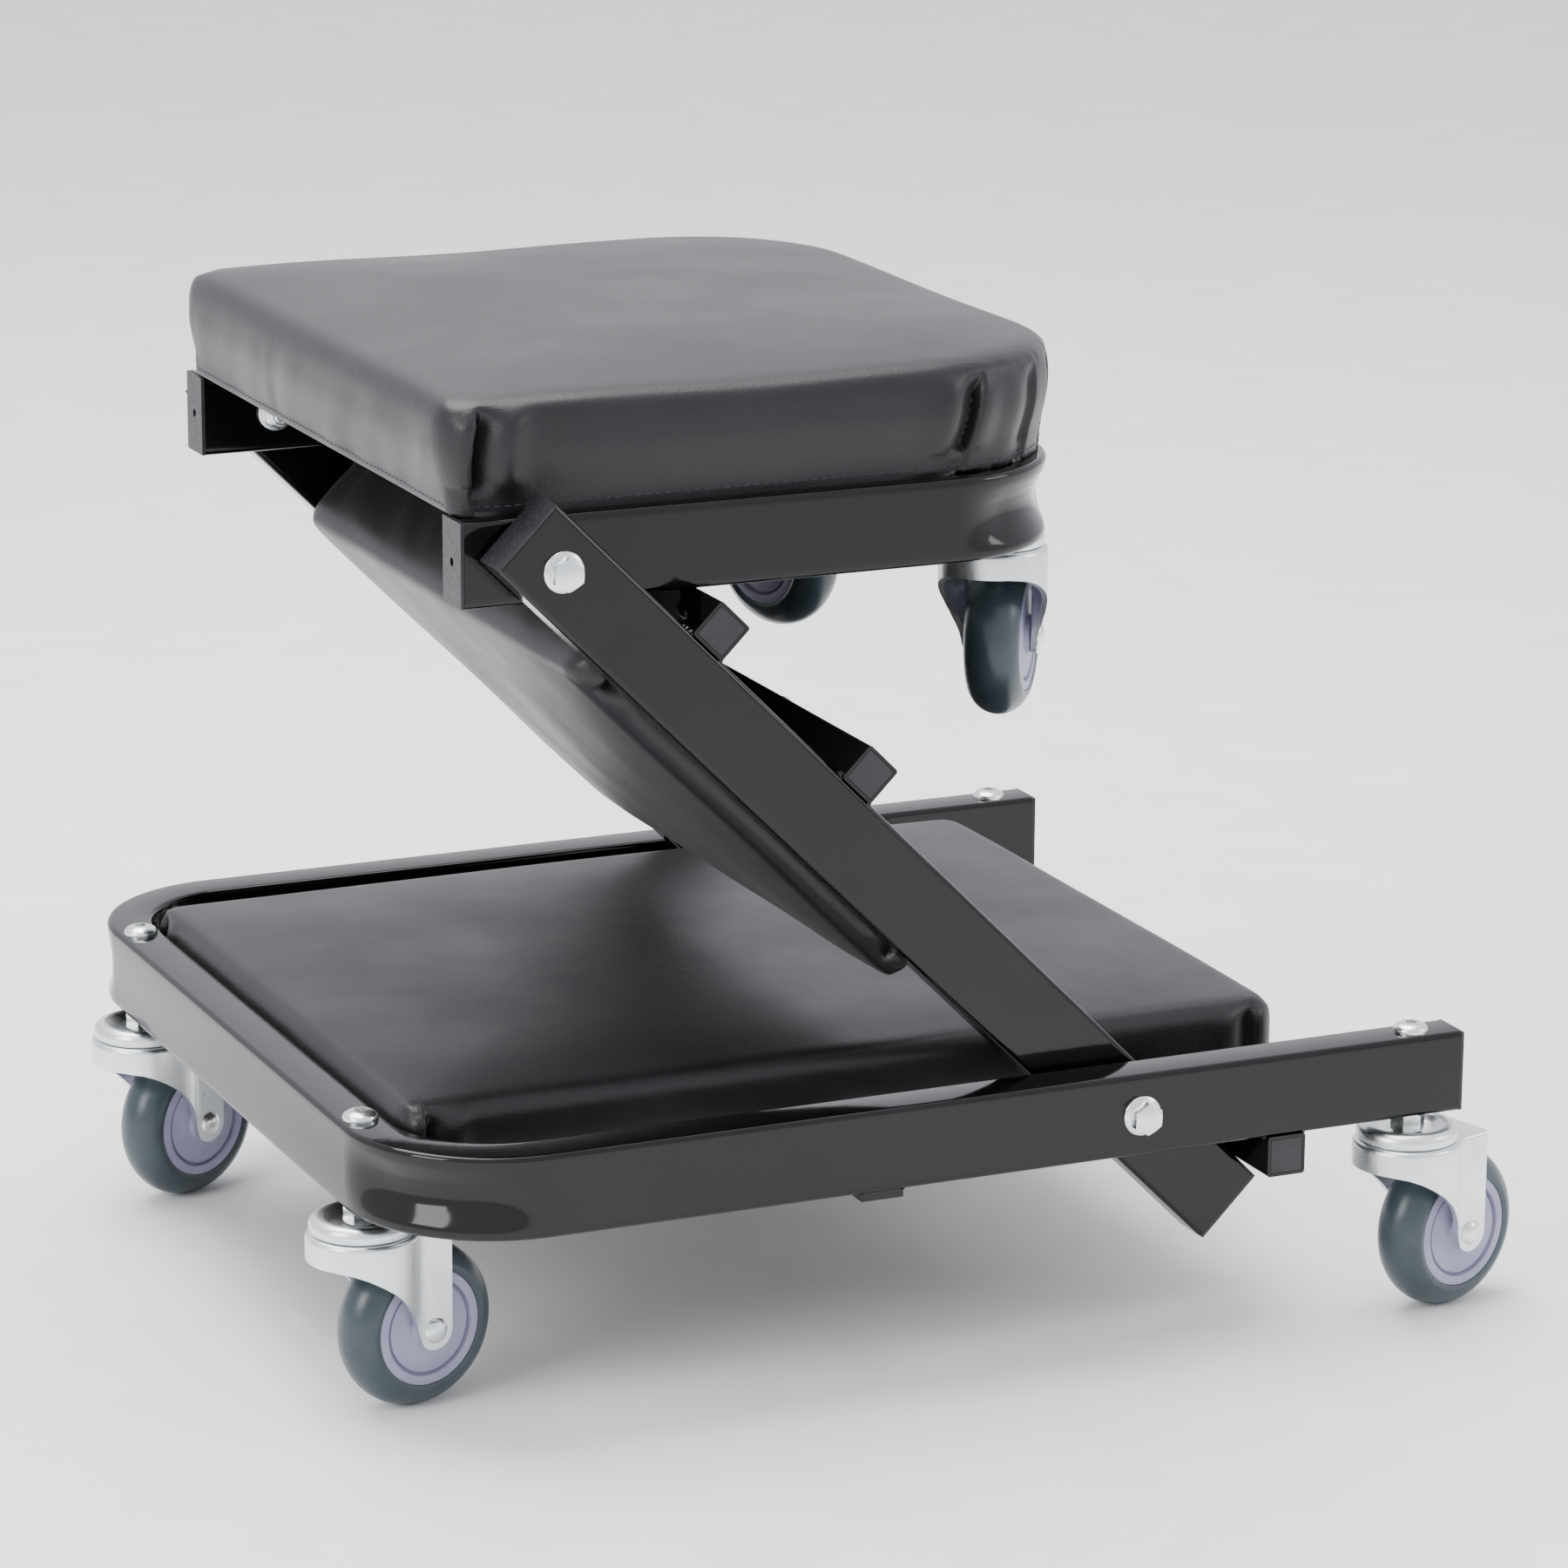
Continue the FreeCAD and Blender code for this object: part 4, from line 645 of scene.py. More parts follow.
def race_cap():
    """Dished cap over the balls, in millimetres: a bright rolled ring round a sunk floor."""
    profile = [(4.9, -12.2), (21.6, -12.2), (21.6, -12.9), (23.2, -12.6), (23.6, -9.6),
               (22.9, -7.4), (21.2, -5.9), (19.0, -5.4), (16.9, -5.9), (15.4, -7.6), (13.8, -9.1),
               (11.6, -9.6), (4.9, -9.6), (4.9, -12.2)]
    return lathe(profile, steps=80, soft=0.7, segments=3)


def stem_nut():
    """Hexagon stem nut with its riveted foot, in millimetres."""
    grip = hex_prism(14, 9.4, chamfer=0.7, both_ends=True)
    bmesh.ops.translate(grip, vec=(0, 0, -9.4), verts=grip.verts)
    neck = lathe([(0, -9), (4.9, -9), (4.9, -15.8), (9, -15.8), (9, -17.9), (0, -17.9)], steps=48,
                 soft=0.4)
    return joined([grip, neck])


def button_screw():
    """Button-head socket screw in the top of the rail, in millimetres, head base at Z = 0."""
    head, high, socket, socket_deep = 8.0, 4.6, 5.0, 2.6
    curve = [(head * math.cos(turn), 0.9 + (high - 0.9) * math.sin(turn))
             for turn in (math.pi / 2 * step / 9 for step in range(9))]
    rim = [(radius, z) for radius, z in curve if radius > socket / 2 + 0.9]
    bm = lathe([(4, -49), (4, 0), (head, 0)] + rim, steps=72)
    edges = [edge for edge in bm.edges if edge.is_boundary and edge.verts[0].co.z > 1]
    made = bmesh.ops.extrude_edge_only(bm, edges=edges)["geom"]
    for vert in verts_of(made):
        turn = math.atan2(vert.co.y, vert.co.x)
        wide = hex_reach(socket / 2, turn)
        vert.co = (wide * math.cos(turn), wide * math.sin(turn), rim[-1][1] + 0.12)
    edges = [g for g in made if isinstance(g, bmesh.types.BMEdge)]
    made = bmesh.ops.extrude_edge_only(bm, edges=edges)["geom"]
    bmesh.ops.translate(bm, vec=(0, 0, -socket_deep), verts=verts_of(made))
    bmesh.ops.holes_fill(bm, edges=[edge for edge in bm.edges if edge.is_boundary], sides=0)
    bmesh.ops.recalc_face_normals(bm, faces=bm.faces)
    return bm


def caster_place(name):
    """Where one caster's stem meets the rail, in metres, and the turn of its trail."""
    stem = Vector(JOINTS[name + "_swivel_turn"]["pos_m"])
    axle = Vector(JOINTS[name + "_wheel_spin"]["pos_m"])
    turn = math.atan2(axle.y - stem.y, axle.x - stem.x)
    return Matrix.Translation(stem) @ Matrix.Rotation(turn, 4, "Z")


def casters(pressed, bright, rubber, plastic):
    """Six swivel casters and their stems."""
    masters = {"fork": (fork(), pressed, "swivel", "zinc_pressing"),
               "axle": (axle_rivet(), bright, "swivel", "zinc_hardware"),
               "hub": (wheel_hub(), plastic, "wheel", "grey_hub"),
               "tyre": (tyre(), rubber, "wheel", "grey_tyre")}
    for name in CASTERS:
        place = caster_place(name)
        for part, (master, material, body, slot) in masters.items():
            bm = master.copy()
            to_metres(bm, place)
            crease = 50 if part == "tyre" else 32
            finish_piece(f"{name}_{part}", bm, material, f"{name}_{body}",
                         [f"{name}_caster_{part}"], crease)
    rail = Matrix.Translation((0, 0, RAIL_HIGH))
    fixings = (("caster_race_caps", race_cap, Matrix.Identity(4), pressed, "zinc_pressing"),
               ("caster_stem_nuts", stem_nut, Matrix.Identity(4), bright, "zinc_hardware"),
               ("caster_screws", button_screw, rail, bright, "zinc_hardware"))
    for section, body in (("lower", "base"), ("seat", "seat")):
        stems = [caster_place(name) for name, owner in CASTERS.items() if owner == body]
        for label, maker, lift, material, slot in fixings:
            master = maker()
            copies = []
            for place in stems:
                bm = copy_at(master, lift)
                to_metres(bm, place)
                copies.append(bm)
            finish_piece(f"{section}_{label}_set", joined(copies), material, body,
                         [f"{section}_{label}"])


# ---------------------------------------------------------------- hinge hardware
def flange_bolt(head_y, tip_y):
    """Hexagon flange bolt along Y in millimetres: head outwards at +Y, tip at tip_y."""
    flange = lathe([(0, -0.2), (9.2, -0.2), (9.2, 0.9), (7.4, 1.9), (0, 1.9)], steps=72, soft=0.35)
    grip = hex_prism(13, 6.6, chamfer=0.9)
    bmesh.ops.translate(grip, vec=(0, 0, 1.2), verts=grip.verts)
    dish = lathe([(0, 7.45), (4.6, 7.45), (5.3, 7.85), (5.6, 7.6), (5.6, 7.0), (0, 7.0)], steps=48,
                 soft=0.1)
    shank = lathe([(0, 0), (4, 0), (4, tip_y - head_y + 0.8), (3.2, tip_y - head_y),
                   (0, tip_y - head_y)], steps=40)
    bm = joined([flange, grip, dish, shank])
    bmesh.ops.transform(bm, matrix=Matrix.Translation((0, head_y, 0)) @ ALONG_Y, verts=bm.verts)
    return bm


def both_sides(bm, pivot):
    """A bmesh made for the +Y side, with its mirror image on the other, moved to a pivot."""
    other = bm.copy()
    bmesh.ops.scale(other, vec=(1, -1, 1), verts=other.verts)
    bmesh.ops.reverse_faces(other, faces=other.faces)
    whole = joined([bm, other])
    to_metres(whole, Matrix.Translation(pivot))
    return whole


def washer(inner, outer, low, high):
    """Flat washer along Y in millimetres, from low to high, its edges softened."""
    bm = lathe([(inner, low), (outer, low), (outer, high), (inner, high), (inner, low)], steps=64,
               soft=0.25, segments=2)
    bmesh.ops.transform(bm, matrix=ALONG_Y, verts=bm.verts)
    return bm


def lock_nut(face_y):
    """Lock nut in millimetres whose bearing face is at face_y and whose collar points inwards."""
    grip = hex_prism(13, 5.6, chamfer=0.8)
    collar = lathe([(0, 5.2), (5.6, 5.2), (5.6, 6.8), (4.9, 7.5), (4.1, 7.5), (4.1, 6.9),
                    (0, 6.9)], steps=48, soft=0.25)
    bm = joined([grip, collar])
    turn = Matrix.Rotation(math.pi / 2, 4, "X")
    bmesh.ops.transform(bm, matrix=Matrix.Translation((0, face_y, 0)) @ turn, verts=bm.verts)
    return bm


def hinges(bright):
    """Bolts, washers and lock nuts of the two hinge axes."""
    frame_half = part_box("lower_frame")[1].y / MM
    side_gap, spacer, flat, play, nut_high = 2.8, 2.4, 1.5, 0.3, 7.5
    arm_out = frame_half - RAIL_WIDE - side_gap
    arm_in = arm_out - RAIL_WIDE
    seat_in = arm_in - side_gap - RAIL_WIDE
    sets = (("lower_hinge", "arm_fold", "base", frame_half, frame_half - RAIL_WIDE, arm_in),
            ("seat_hinge", "seat_fold", "arms", arm_out, arm_in, seat_in))
    for prefix, joint, body, outer_face, middle_face, inner_face in sets:
        pivot = Vector(JOINTS[joint]["pos_m"])
        nut_face = inner_face - play - flat
        bolt = flange_bolt(outer_face, nut_face - nut_high - 1.5)
        finish_piece(prefix + "_flange_bolts", both_sides(bolt, pivot), bright, body,
                     [prefix + "_bolts"])
        rings = joined([washer(4.1, 9, middle_face - spacer, middle_face),
                        washer(4.1, 9, nut_face, nut_face + flat)])
        finish_piece(prefix + "_washer_set", both_sides(rings, pivot), bright, body,
                     [prefix + "_washers"])
        finish_piece(prefix + "_nut_set", both_sides(lock_nut(nut_face), pivot), bright, body,
                     [prefix + "_lock_nuts"])


# ---------------------------------------------------------------- pads
# Each pad is made in its own millimetres: X along the creeper from the pad's low end, Y across,
# Z up from the underside of its board.
PAD_HALF = 171.0
VOXEL = 5.0
SWELL = 2.4                 # furthest a point of the cover may move as the foam fills it
HELD = 0.3                  # share of the height that is held while it does
DRAWN = 0.15                # share kept of any move in towards the pad's middle
EVENING = 70                # rounds of evening out that move
SEAT_CORNER = 76.0          # plan radius of the seat pad's closed end
CORNER = 7.0                # plan radius of an ordinary corner
COVER = 0.8                 # vinyl folded under the board
SNUG = 0.4                  # the cover stands this far inside the pad's outline at the board
MARGIN = 15.0               # how far the vinyl is folded in under the board
BOARD = 9.5                 # height of the board's top, above which a fold may go deep
STITCH = 4.6                # pitch of the hem's stitches


def inset(co, long, end_corner):
    """How far inside a pad's plan outline a point lies, and the way out from there."""
    ways = [(co.x, (-1, 0)), (long - co.x, (1, 0)), (PAD_HALF - abs(co.y), (0, math.copysign(1, co.y)))]
    depth, way = min(ways)
    for x, radius, sign in ((CORNER, CORNER, -1), (long - end_corner, end_corner, 1)):
        arm = Vector((co.x - x, abs(co.y) - (PAD_HALF - radius)))
        if arm.x * sign > 0 and arm.y > 0:
            depth = radius - arm.length
            way = (arm.x / arm.length, math.copysign(arm.y / arm.length, co.y))
    return depth, Vector(way)


def pad_block(long, high, end_corner):
    """Block that the pad swells from: a little low, with a soft top edge."""
    slim, low_top, top_roll, low_roll = 0.4, 1.2, 7.0, 1.2
    bm = bmesh.new()
    bmesh.ops.create_cube(bm, size=1)
    bmesh.ops.scale(bm, vec=(long - 2 * slim, 2 * (PAD_HALF - slim), high - low_top + COVER),
                    verts=bm.verts)
    bmesh.ops.translate(bm, vec=(long / 2, 0, (high - low_top - COVER) / 2), verts=bm.verts)
    for x, corner in ((0, CORNER), (long, end_corner)):
        posts = [edge for edge in bm.edges if all(abs(vert.co.x - x) < 10 for vert in edge.verts)
                 and abs(edge.verts[0].co.z - edge.verts[1].co.z) > 10]
        bmesh.ops.bevel(bm, geom=posts, offset=corner, affect="EDGES", segments=12, profile=0.5,
                        material=-1)
    for z, roll in ((high - low_top, top_roll), (-COVER, low_roll)):
        rim = [edge for edge in bm.edges if all(abs(vert.co.z - z) < 0.01 for vert in edge.verts)]
        bmesh.ops.bevel(bm, geom=rim, offset=roll, affect="EDGES", segments=5, profile=0.5,
                        material=-1)
    return bm


def evened(mesh, steps):
    """Each point's move averaged with its neighbours', again and again: foam has no sharp lumps."""
    field = np.array(steps)
    ends = np.array([edge.vertices[:] for edge in mesh.edges])
    count = np.bincount(ends.ravel(), minlength=len(field))[:, None]
    own = 0.4
    for _ in range(EVENING):
        total = np.zeros_like(field)
        np.add.at(total, ends[:, 0], field[ends[:, 1]])
        np.add.at(total, ends[:, 1], field[ends[:, 0]])
        field = own * field + (1 - own) * total / count
    return field


def stuffed(name, bm, long, high):
    """Fill a block with foam pressure: remeshed, inflated as cloth and held by its lower part."""
    to_metres(bm)
    piece = new_object(name, bm)
    skin = piece.modifiers.new("skin", "REMESH")
    skin.mode = "VOXEL"
    skin.voxel_size = VOXEL * MM
    apply_modifiers(piece)
    before = [vert.co.copy() for vert in piece.data.vertices]
    held = piece.vertex_groups.new(name="held")
    held.add([index for index, co in enumerate(before) if co.z < HELD * high * MM], 1.0,
             "REPLACE")
    cloth = piece.modifiers.new("foam", "CLOTH")
    settings = cloth.settings
    settings.quality = 6
    settings.mass = 0.3
    settings.tension_stiffness = 40
    settings.compression_stiffness = 40
    settings.shear_stiffness = 20
    settings.bending_stiffness = 8
    settings.use_pressure = True
    settings.uniform_pressure_force = 4
    settings.effector_weights.gravity = 0
    settings.vertex_group_mass = "held"
    cloth.collision_settings.use_collision = False
    cloth.collision_settings.use_self_collision = False
    for number in range(1, 21):
        SCENE.frame_set(number)
    apply_modifiers(piece)
    SCENE.frame_set(1)
    steps = []
    for vert, old in zip(piece.data.vertices, before):
        step = vert.co - old
        for axis, middle in ((0, long * MM / 2), (1, 0)):
            if step[axis] * (old[axis] - middle) < 0:
                step[axis] *= DRAWN
        step.length = min(step.length, SWELL * MM)
        steps.append(step)
    for vert, old, step in zip(piece.data.vertices, before, evened(piece.data, steps)):
        vert.co = old + Vector(step)
    piece.vertex_groups.clear()
    bm = bmesh.new()
    bm.from_mesh(piece.data)
    bpy.data.objects.remove(piece)
    bmesh.ops.scale(bm, vec=(1 / MM,) * 3, verts=bm.verts)
    for _ in range(2):
        bmesh.ops.smooth_vert(bm, verts=bm.verts, factor=0.5, use_axis_x=True, use_axis_y=True,
                              use_axis_z=True)
    return bm


class Pleat:
    """One fold of spare vinyl in a side wall, with a sharp lip on one side.

    `foot` is its place on the plan outline, `out` the wall's outward direction in degrees.
    `lip` is 1 or -1: which way round the sharp side lies. `lean` is how far its top is shifted
    round the wall and `bow` how far its middle is.
    """

    def __init__(self, foot, out, lip=1, deep=4.5, lean=0.0, bow=0.0, top=0.93, soft=7.0):
        self.foot = Vector(foot)
        turn = math.radians(out)
        self.out = Vector((math.cos(turn), math.sin(turn)))
        self.along = Vector((-self.out.y, self.out.x))
        self.lip, self.deep, self.lean, self.bow = lip, deep, lean, bow
        self.top, self.soft = top, soft

    def place(self, co, high):
        """Distance past the lip, share of the height, and whether it is on this wall."""
        step = Vector((co.x, co.y)) - self.foot
        share = co.z / high
        centre = self.lean * share + self.bow * 4 * share * (1 - share)
        near = abs(step.dot(self.out)) < 16 and co.z > 0.3
        return (step.dot(self.along) - centre) * self.lip, share, near

    def shift(self, co, high):
        """How the fold moves a point of the wall."""
        past, share, near = self.place(co, high)
        if not near or not -16 < past < 34:
            return Vector()
        strength = self.deep * (1 - smooth(self.top - 0.2, self.top + 0.04, share))
        strength = min(strength, 1.4 + 10 * smooth(BOARD - 2, BOARD + 9, co.z))
        if past < 0:
            groove = 1 - smooth(0, 2.8, -past)
            proud = 0.28 * smooth(0, 2.8, -past) * (1 - smooth(4, 15, -past))
        else:
            groove = math.exp(-(past / self.soft) ** 2)
            proud = 0.42 * math.exp(-((past - 2.3 * self.soft) / self.soft) ** 2)
        inward = strength * (proud - groove)
        tuck = 0.35 * strength * (1 - smooth(0, 4, abs(past + 1)))
        side = self.along * (self.lip * tuck)
        return Vector((self.out.x * inward + side.x, self.out.y * inward + side.y, 0))


def sculpt(bm, high, pleats, ripples, seed):
    """Press the folds and the small wrinkles into a stuffed cover, and let its top rise and fall a
    little.

    A ripple is (axis, place, from, to, height in mm): a stretch of wall where the vinyl puckers.
    """
    for fineness in (9, 6):
        near = set()
        for pleat in pleats:
            for vert in bm.verts:
                past, share, on_wall = pleat.place(vert.co, high)
                if on_wall and -fineness < past < 1.4 * fineness:
                    near.add(vert)
        edges = [edge for edge in bm.edges if edge.verts[0] in near and edge.verts[1] in near]
        bmesh.ops.subdivide_edges(bm, edges=edges, cuts=1, use_grid_fill=True)
    bmesh.ops.triangulate(bm, faces=[face for face in bm.faces if len(face.verts) > 4])
    for vert in bm.verts:
        move = Vector()
        for pleat in pleats:
            move += pleat.shift(vert.co, high)
        share = vert.co.z / high
        for axis, place, first, last, tall in ripples:
            other = 1 - axis
            if abs(vert.co[axis] - place) < 12 and first < vert.co[other] < last and share > 0.02:
                level = smooth(0, 0.2, share) * (1 - smooth(0.5, 0.9, share))
                ends = smooth(first, first + 25, vert.co[other]) \
                    * (1 - smooth(last - 12, last, vert.co[other]))
                wave = noise.noise(Vector((vert.co[other] / 26 + 1.6 * share, 0.6 * share, seed)))
                outward = 1 if place > (0 if axis else 60) else -1
                move[axis] += outward * tall * level * ends * wave
        soft = noise.noise(Vector((vert.co.x / 80, vert.co.y / 80, seed + vert.co.z / 90)))
        move.z += 0.5 * soft * smooth(0.6, 1.0, share)
        vert.co += move


def wrap(bm, long, end_corner):
    """Pull the cover tight round the board and turn it under, so the board shows from below."""
    for vert in bm.verts:
        depth, way = inset(vert.co, long, end_corner)
        reach = 8 if vert.co.z > 1 else 3.4
        if vert.co.z < 12 and SNUG < depth < reach:
            pull = (depth - SNUG) * (1 - smooth(8, 12, vert.co.z))
            vert.co.x += way.x * pull
            vert.co.y += way.y * pull
        if vert.co.z < 3:
            vert.co.z += 5.5 * smooth(MARGIN - 3, MARGIN + 3, depth)


def fill_out(bm, long, high, end_corner, lean, crown):
    """Let the wall lean out over its board and the top rise to a low crown, both in mm."""
    for vert in bm.verts:
        depth, way = inset(vert.co, long, end_corner)
        share = vert.co.z / high
        out = lean * (0.35 + 0.65 * smooth(0.05, 0.6, share)) * (1 - smooth(0, 90, depth))
        vert.co.x += way.x * out
        vert.co.y += way.y * out
        vert.co.z += crown * smooth(-40, 110, depth) * smooth(0.6, 1.0, share)


def stitches(bm, outline, height, thick=0.5):
    """Row of thread stitches pressed on a pad's wall. `outline` gives plan point and direction."""
    tree = BVHTree.FromBMesh(bm)
    row = []
    for point, out in outline:
        spot, normal, _, distance = tree.find_nearest(Vector((point.x, point.y, height)))
        if spot is None or distance > 8:
            continue
        stitch = bmesh.new()
        bmesh.ops.create_icosphere(stitch, subdivisions=1, radius=1)
        bmesh.ops.scale(stitch, vec=(0.42 * STITCH, thick, 0.9 * thick), verts=stitch.verts)
        along = Vector((-out.y, out.x, 0))
        turn = Matrix((along, normal, along.cross(normal))).transposed().to_4x4()
        bmesh.ops.transform(stitch, matrix=Matrix.Translation(spot) @ turn, verts=stitch.verts)
        row.append(stitch)
    return joined(row)


def plan_walk(long, start_corner, end_corner, pitch):
    """Points and outward directions round a pad's plan outline, `pitch` apart."""
    runs = [((start_corner, -PAD_HALF), (long - end_corner, -PAD_HALF), None),
            ((long - end_corner, end_corner - PAD_HALF), end_corner, -90),
            ((long, end_corner - PAD_HALF), (long, PAD_HALF - end_corner), None),
            ((long - end_corner, PAD_HALF - end_corner), end_corner, 0),
            ((long - end_corner, PAD_HALF), (start_corner, PAD_HALF), None),
            ((start_corner, PAD_HALF - start_corner), start_corner, 90),
            ((0, PAD_HALF - start_corner), (0, start_corner - PAD_HALF), None),
            ((start_corner, start_corner - PAD_HALF), start_corner, 180)]
    for first, second, turn in runs:
        if turn is None:
            begin, end = Vector(first), Vector(second)
            step = end - begin
            out = Vector((step.y, -step.x)).normalized()
            for number in range(int(step.length / pitch)):
                yield begin + step * ((number + 0.5) * pitch / step.length), out
        else:
            count = max(1, round(second * math.pi / 2 / pitch))
            for number in range(count):
                angle = math.radians(turn) + math.pi / 2 * (number + 0.5) / count
                out = Vector((math.cos(angle), math.sin(angle)))
                yield Vector(first) + out * second, out


def arm_place():
    """Frame of the arms: X from the lower hinge to the upper one, Z towards the middle pad."""
    pivot = Vector(JOINTS["arm_fold"]["pos_m"])
    along = (Vector(JOINTS["seat_fold"]["pos_m"]) - pivot).normalized()
    across = Vector((0, 1, 0))
    turn = Matrix((along, across, along.cross(across))).transposed().to_4x4()
    return Matrix.Translation(pivot) @ turn


def pads(cover, cotton):
    """The three upholstered pads."""
    low, high = (Vector(corner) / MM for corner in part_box("back_cushion"))
    seat_low, seat_high = (Vector(corner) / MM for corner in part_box("seat_cushion"))
    arm = arm_place()
    middle_start, middle_long, middle_high = 104.0, 224.0, 47.0
    half_rail = RAIL_HIGH / 2
    wide = PAD_HALF
    kinds = {
        "back": dict(
            body="base", lean=2.0, crown=1.5, long=high.x - low.x, high=high.z - low.z,
            end_corner=CORNER,
            place=Matrix.Translation(Vector((low.x, 0, low.z)) * MM),
            pleats=[Pleat((9, -wide), -90, lip=1, deep=5, lean=3, bow=-2, soft=6),
                    Pleat((0, wide - 10), 180, lip=1, deep=3.5, soft=6),
                    Pleat((high.x - low.x - 12, -wide), -90, lip=-1, deep=3.5, soft=6),
                    Pleat((high.x - low.x - 12, wide), 90, lip=1, deep=4, soft=6)],
            ripples=[(0, 0, -150, 150, 1.2), (1, -wide, 20, 400, 0.8), (1, wide, 20, 400, 0.8)]),
        "middle": dict(
            body="arms", lean=1.5, crown=2.0, long=middle_long, high=middle_high,
            end_corner=CORNER,
            place=arm @ Matrix.Translation(Vector((middle_start, 0, -half_rail)) * MM),
            pleats=[Pleat((middle_long - 14, -wide), -90, lip=-1, deep=4.5, lean=-2, soft=6),
                    Pleat((14, -wide), -90, lip=1, deep=4, soft=6),
                    Pleat((middle_long - 14, wide), 90, lip=1, deep=4, soft=6),
                    Pleat((14, wide), 90, lip=-1, deep=4, soft=6)],
            ripples=[(0, 0, -150, 150, 1.0), (0, middle_long, -150, 150, 1.0)]),
        "seat": dict(
            body="seat", lean=6.5, crown=5.0, long=seat_high.x - seat_low.x,
            high=seat_high.z - seat_low.z,
            end_corner=SEAT_CORNER, place=Matrix.Translation(Vector((seat_low.x, 0, seat_low.z)) * MM),
            pleats=[Pleat((10, -wide), -90, lip=1, deep=8.5, lean=1, bow=-5, top=0.94, soft=7),
                    Pleat((9, wide), 90, lip=-1, deep=6, lean=-1, bow=5, top=0.92, soft=6)],
            ripples=[(0, 0, -165, 60, 1.7), (0, 0, 60, 160, 0.8)]),
    }
    seat_long = kinds["seat"]["long"]
    for side in (-1, 1):
        middle = Vector((seat_long - SEAT_CORNER, side * (wide - SEAT_CORNER)))
        for turn, deep, lean in ((8, 5.5, 9), (38, 2.0, 5), (62, 2.3, 3), (84, 2.0, 2)):
            out = side * (90 - turn)
            point = middle + SEAT_CORNER * Vector((math.cos(math.radians(out)),
                                                   math.sin(math.radians(out))))
            kinds["seat"]["pleats"].append(Pleat(point, out, lip=side, deep=deep,
                                                 lean=-side * lean, bow=-side * 2.5, top=0.88,
                                                 soft=7.0))
    for seed, (name, kind) in enumerate(kinds.items(), start=1):
        long, high, end_corner = kind["long"], kind["high"], kind["end_corner"]
        bm = stuffed(name + "_cover", pad_block(long, high, end_corner), long, high)
        bmesh.ops.subdivide_edges(bm, edges=bm.edges[:], cuts=1, use_grid_fill=True, smooth=0.6)
        wrap(bm, long, end_corner)
        fill_out(bm, long, high, end_corner, kind["lean"], kind["crown"])
        sculpt(bm, high, kind["pleats"], kind["ripples"], seed * 7.3)
        if name == "seat":
            seam = stitches(bm, plan_walk(long, CORNER, end_corner, STITCH), 4.0)
            to_metres(seam, kind["place"])
            finish_piece("seat_pad_stitching", seam, cotton, kind["body"])
        to_metres(bm, kind["place"])
        piece = finish_piece(name + "_pad", bm, cover, kind["body"],
                             [name + "_cushion"], crease=75)


# ---------------------------------------------------------------- weld beads
def bead(x, z, low_y, high_y, seed):
    """Rough bead along Y, with the ripples and spatter of a hand weld."""
    long = high_y - low_y
    bm = bmesh.new()
    bmesh.ops.create_cone(bm, cap_ends=True, segments=12, radius1=2, radius2=2, depth=long)
    sides = [edge for edge in bm.edges if edge.calc_length() > long - 1]
    bmesh.ops.subdivide_edges(bm, edges=sides, cuts=int(long / 0.8))
    for vert in bm.verts:
        swell = noise.noise(Vector((vert.co.x / 2.5, vert.co.y / 2.5, vert.co.z / 2.2 + seed)))
        ripple = 0.12 * math.sin(vert.co.z * 3.1 + vert.co.x)
        end = smooth(0, 1.5, long / 2 - abs(vert.co.z))
        factor = (0.95 + 0.45 * swell + ripple) * (0.45 + 0.55 * end)
        vert.co.x *= factor
        vert.co.y *= factor
    bmesh.ops.rotate(bm, cent=(0, 0, 0), matrix=Matrix.Rotation(math.pi / 2, 3, "X"), verts=bm.verts)
    bmesh.ops.translate(bm, vec=(x, (low_y + high_y) / 2, z), verts=bm.verts)
    bmesh.ops.recalc_face_normals(bm, faces=bm.faces)
    return bm


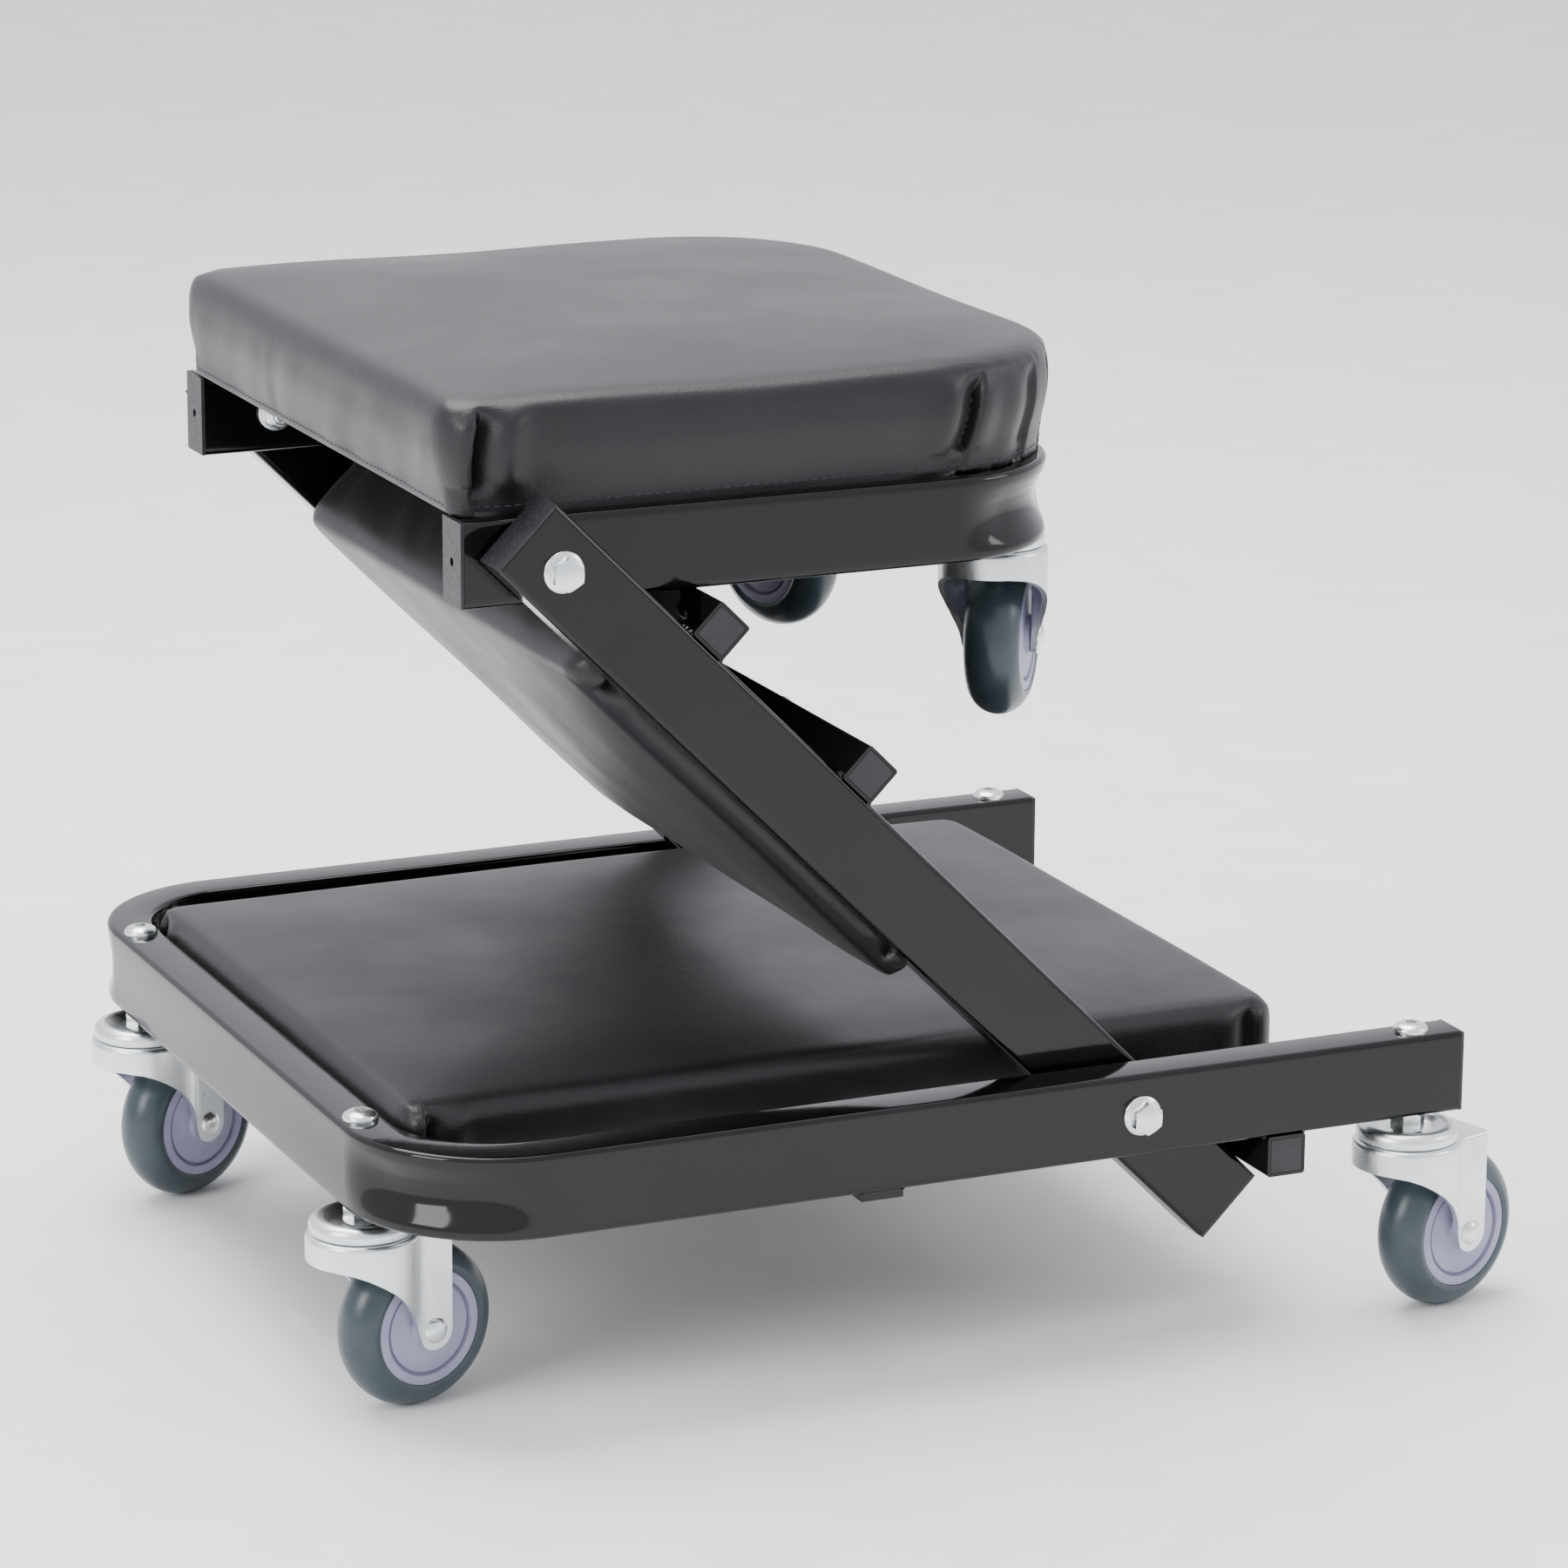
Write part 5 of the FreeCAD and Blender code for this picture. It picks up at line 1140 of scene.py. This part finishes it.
def welds(coat):
    """Beads where the cross tubes and the strap meet the rails and arms."""
    half_rail, square = RAIL_HIGH / 2, 19.0
    arm = arm_place()
    back = arm.inverted()
    arm_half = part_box("right_arm")
    inner, outer = arm_half[1].y / MM, arm_half[0].y / MM
    beads = []
    for node in ("arm_upper_cross_tube", "arm_middle_cross_tube"):
        low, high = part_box(node)
        middle = back @ Vector(((low.x + high.x) / 2, 0, (low.z + high.z) / 2)) / MM
        for sign in (-1, 1):
            for y0, y1 in ((outer + 1, inner - 1), (1 - inner, -outer - 1)):
                beads.append(bead(middle.x + sign * square / 2, -half_rail, y0, y1, len(beads) * 3.7))
    whole = joined(beads)
    to_metres(whole, arm)
    finish_piece("arm_weld_beads", whole, coat, "arms", crease=60)
    frame_low, frame_high = (Vector(corner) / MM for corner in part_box("lower_frame"))
    beads = []
    for node in ("lower_cross_tube", "lower_support_strap"):
        low, high = (Vector(corner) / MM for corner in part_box(node))
        for x in (low.x, high.x):
            for y0, y1 in ((frame_low.y + 2, frame_low.y + RAIL_WIDE - 1),
                           (frame_high.y - RAIL_WIDE + 1, frame_high.y - 2)):
                beads.append(bead(x, frame_low.z, y0, y1, len(beads) * 2.9))
    whole = joined(beads)
    to_metres(whole)
    finish_piece("lower_weld_beads", whole, coat, "base", crease=60)


# ---------------------------------------------------------------- build
def paint(material, *nodes):
    """Give kept CAD nodes their material."""
    for name in nodes:
        mesh = frame["nodes"][name].data
        mesh.materials.clear()
        mesh.materials.append(material)


camera()
studio()
coat, ends, cover = powder_coat(), thin_coat(), vinyl()
bright, pressed = bright_zinc(), pressed_zinc()
frame_tubes(coat)
casters(pressed, bright, tyre_rubber(), hub_plastic())
hinges(bright)
pads(cover, thread())
welds(coat)
paint(coat, "right_arm", "left_arm", "lower_cross_tube", "lower_support_strap",
      "arm_upper_cross_tube", "arm_middle_cross_tube")
paint(ends, "lower_rail_end_plates", "lower_cross_tube_caps", "arm_end_plates",
      "arm_cross_tube_caps", "seat_rail_end_plates")
paint(plywood(), "back_board", "middle_board", "seat_board")
paint(bright, "back_board_screws", "middle_board_screws", "seat_board_screws")
paint(ball_steel(), "lower_caster_balls", "seat_caster_balls")
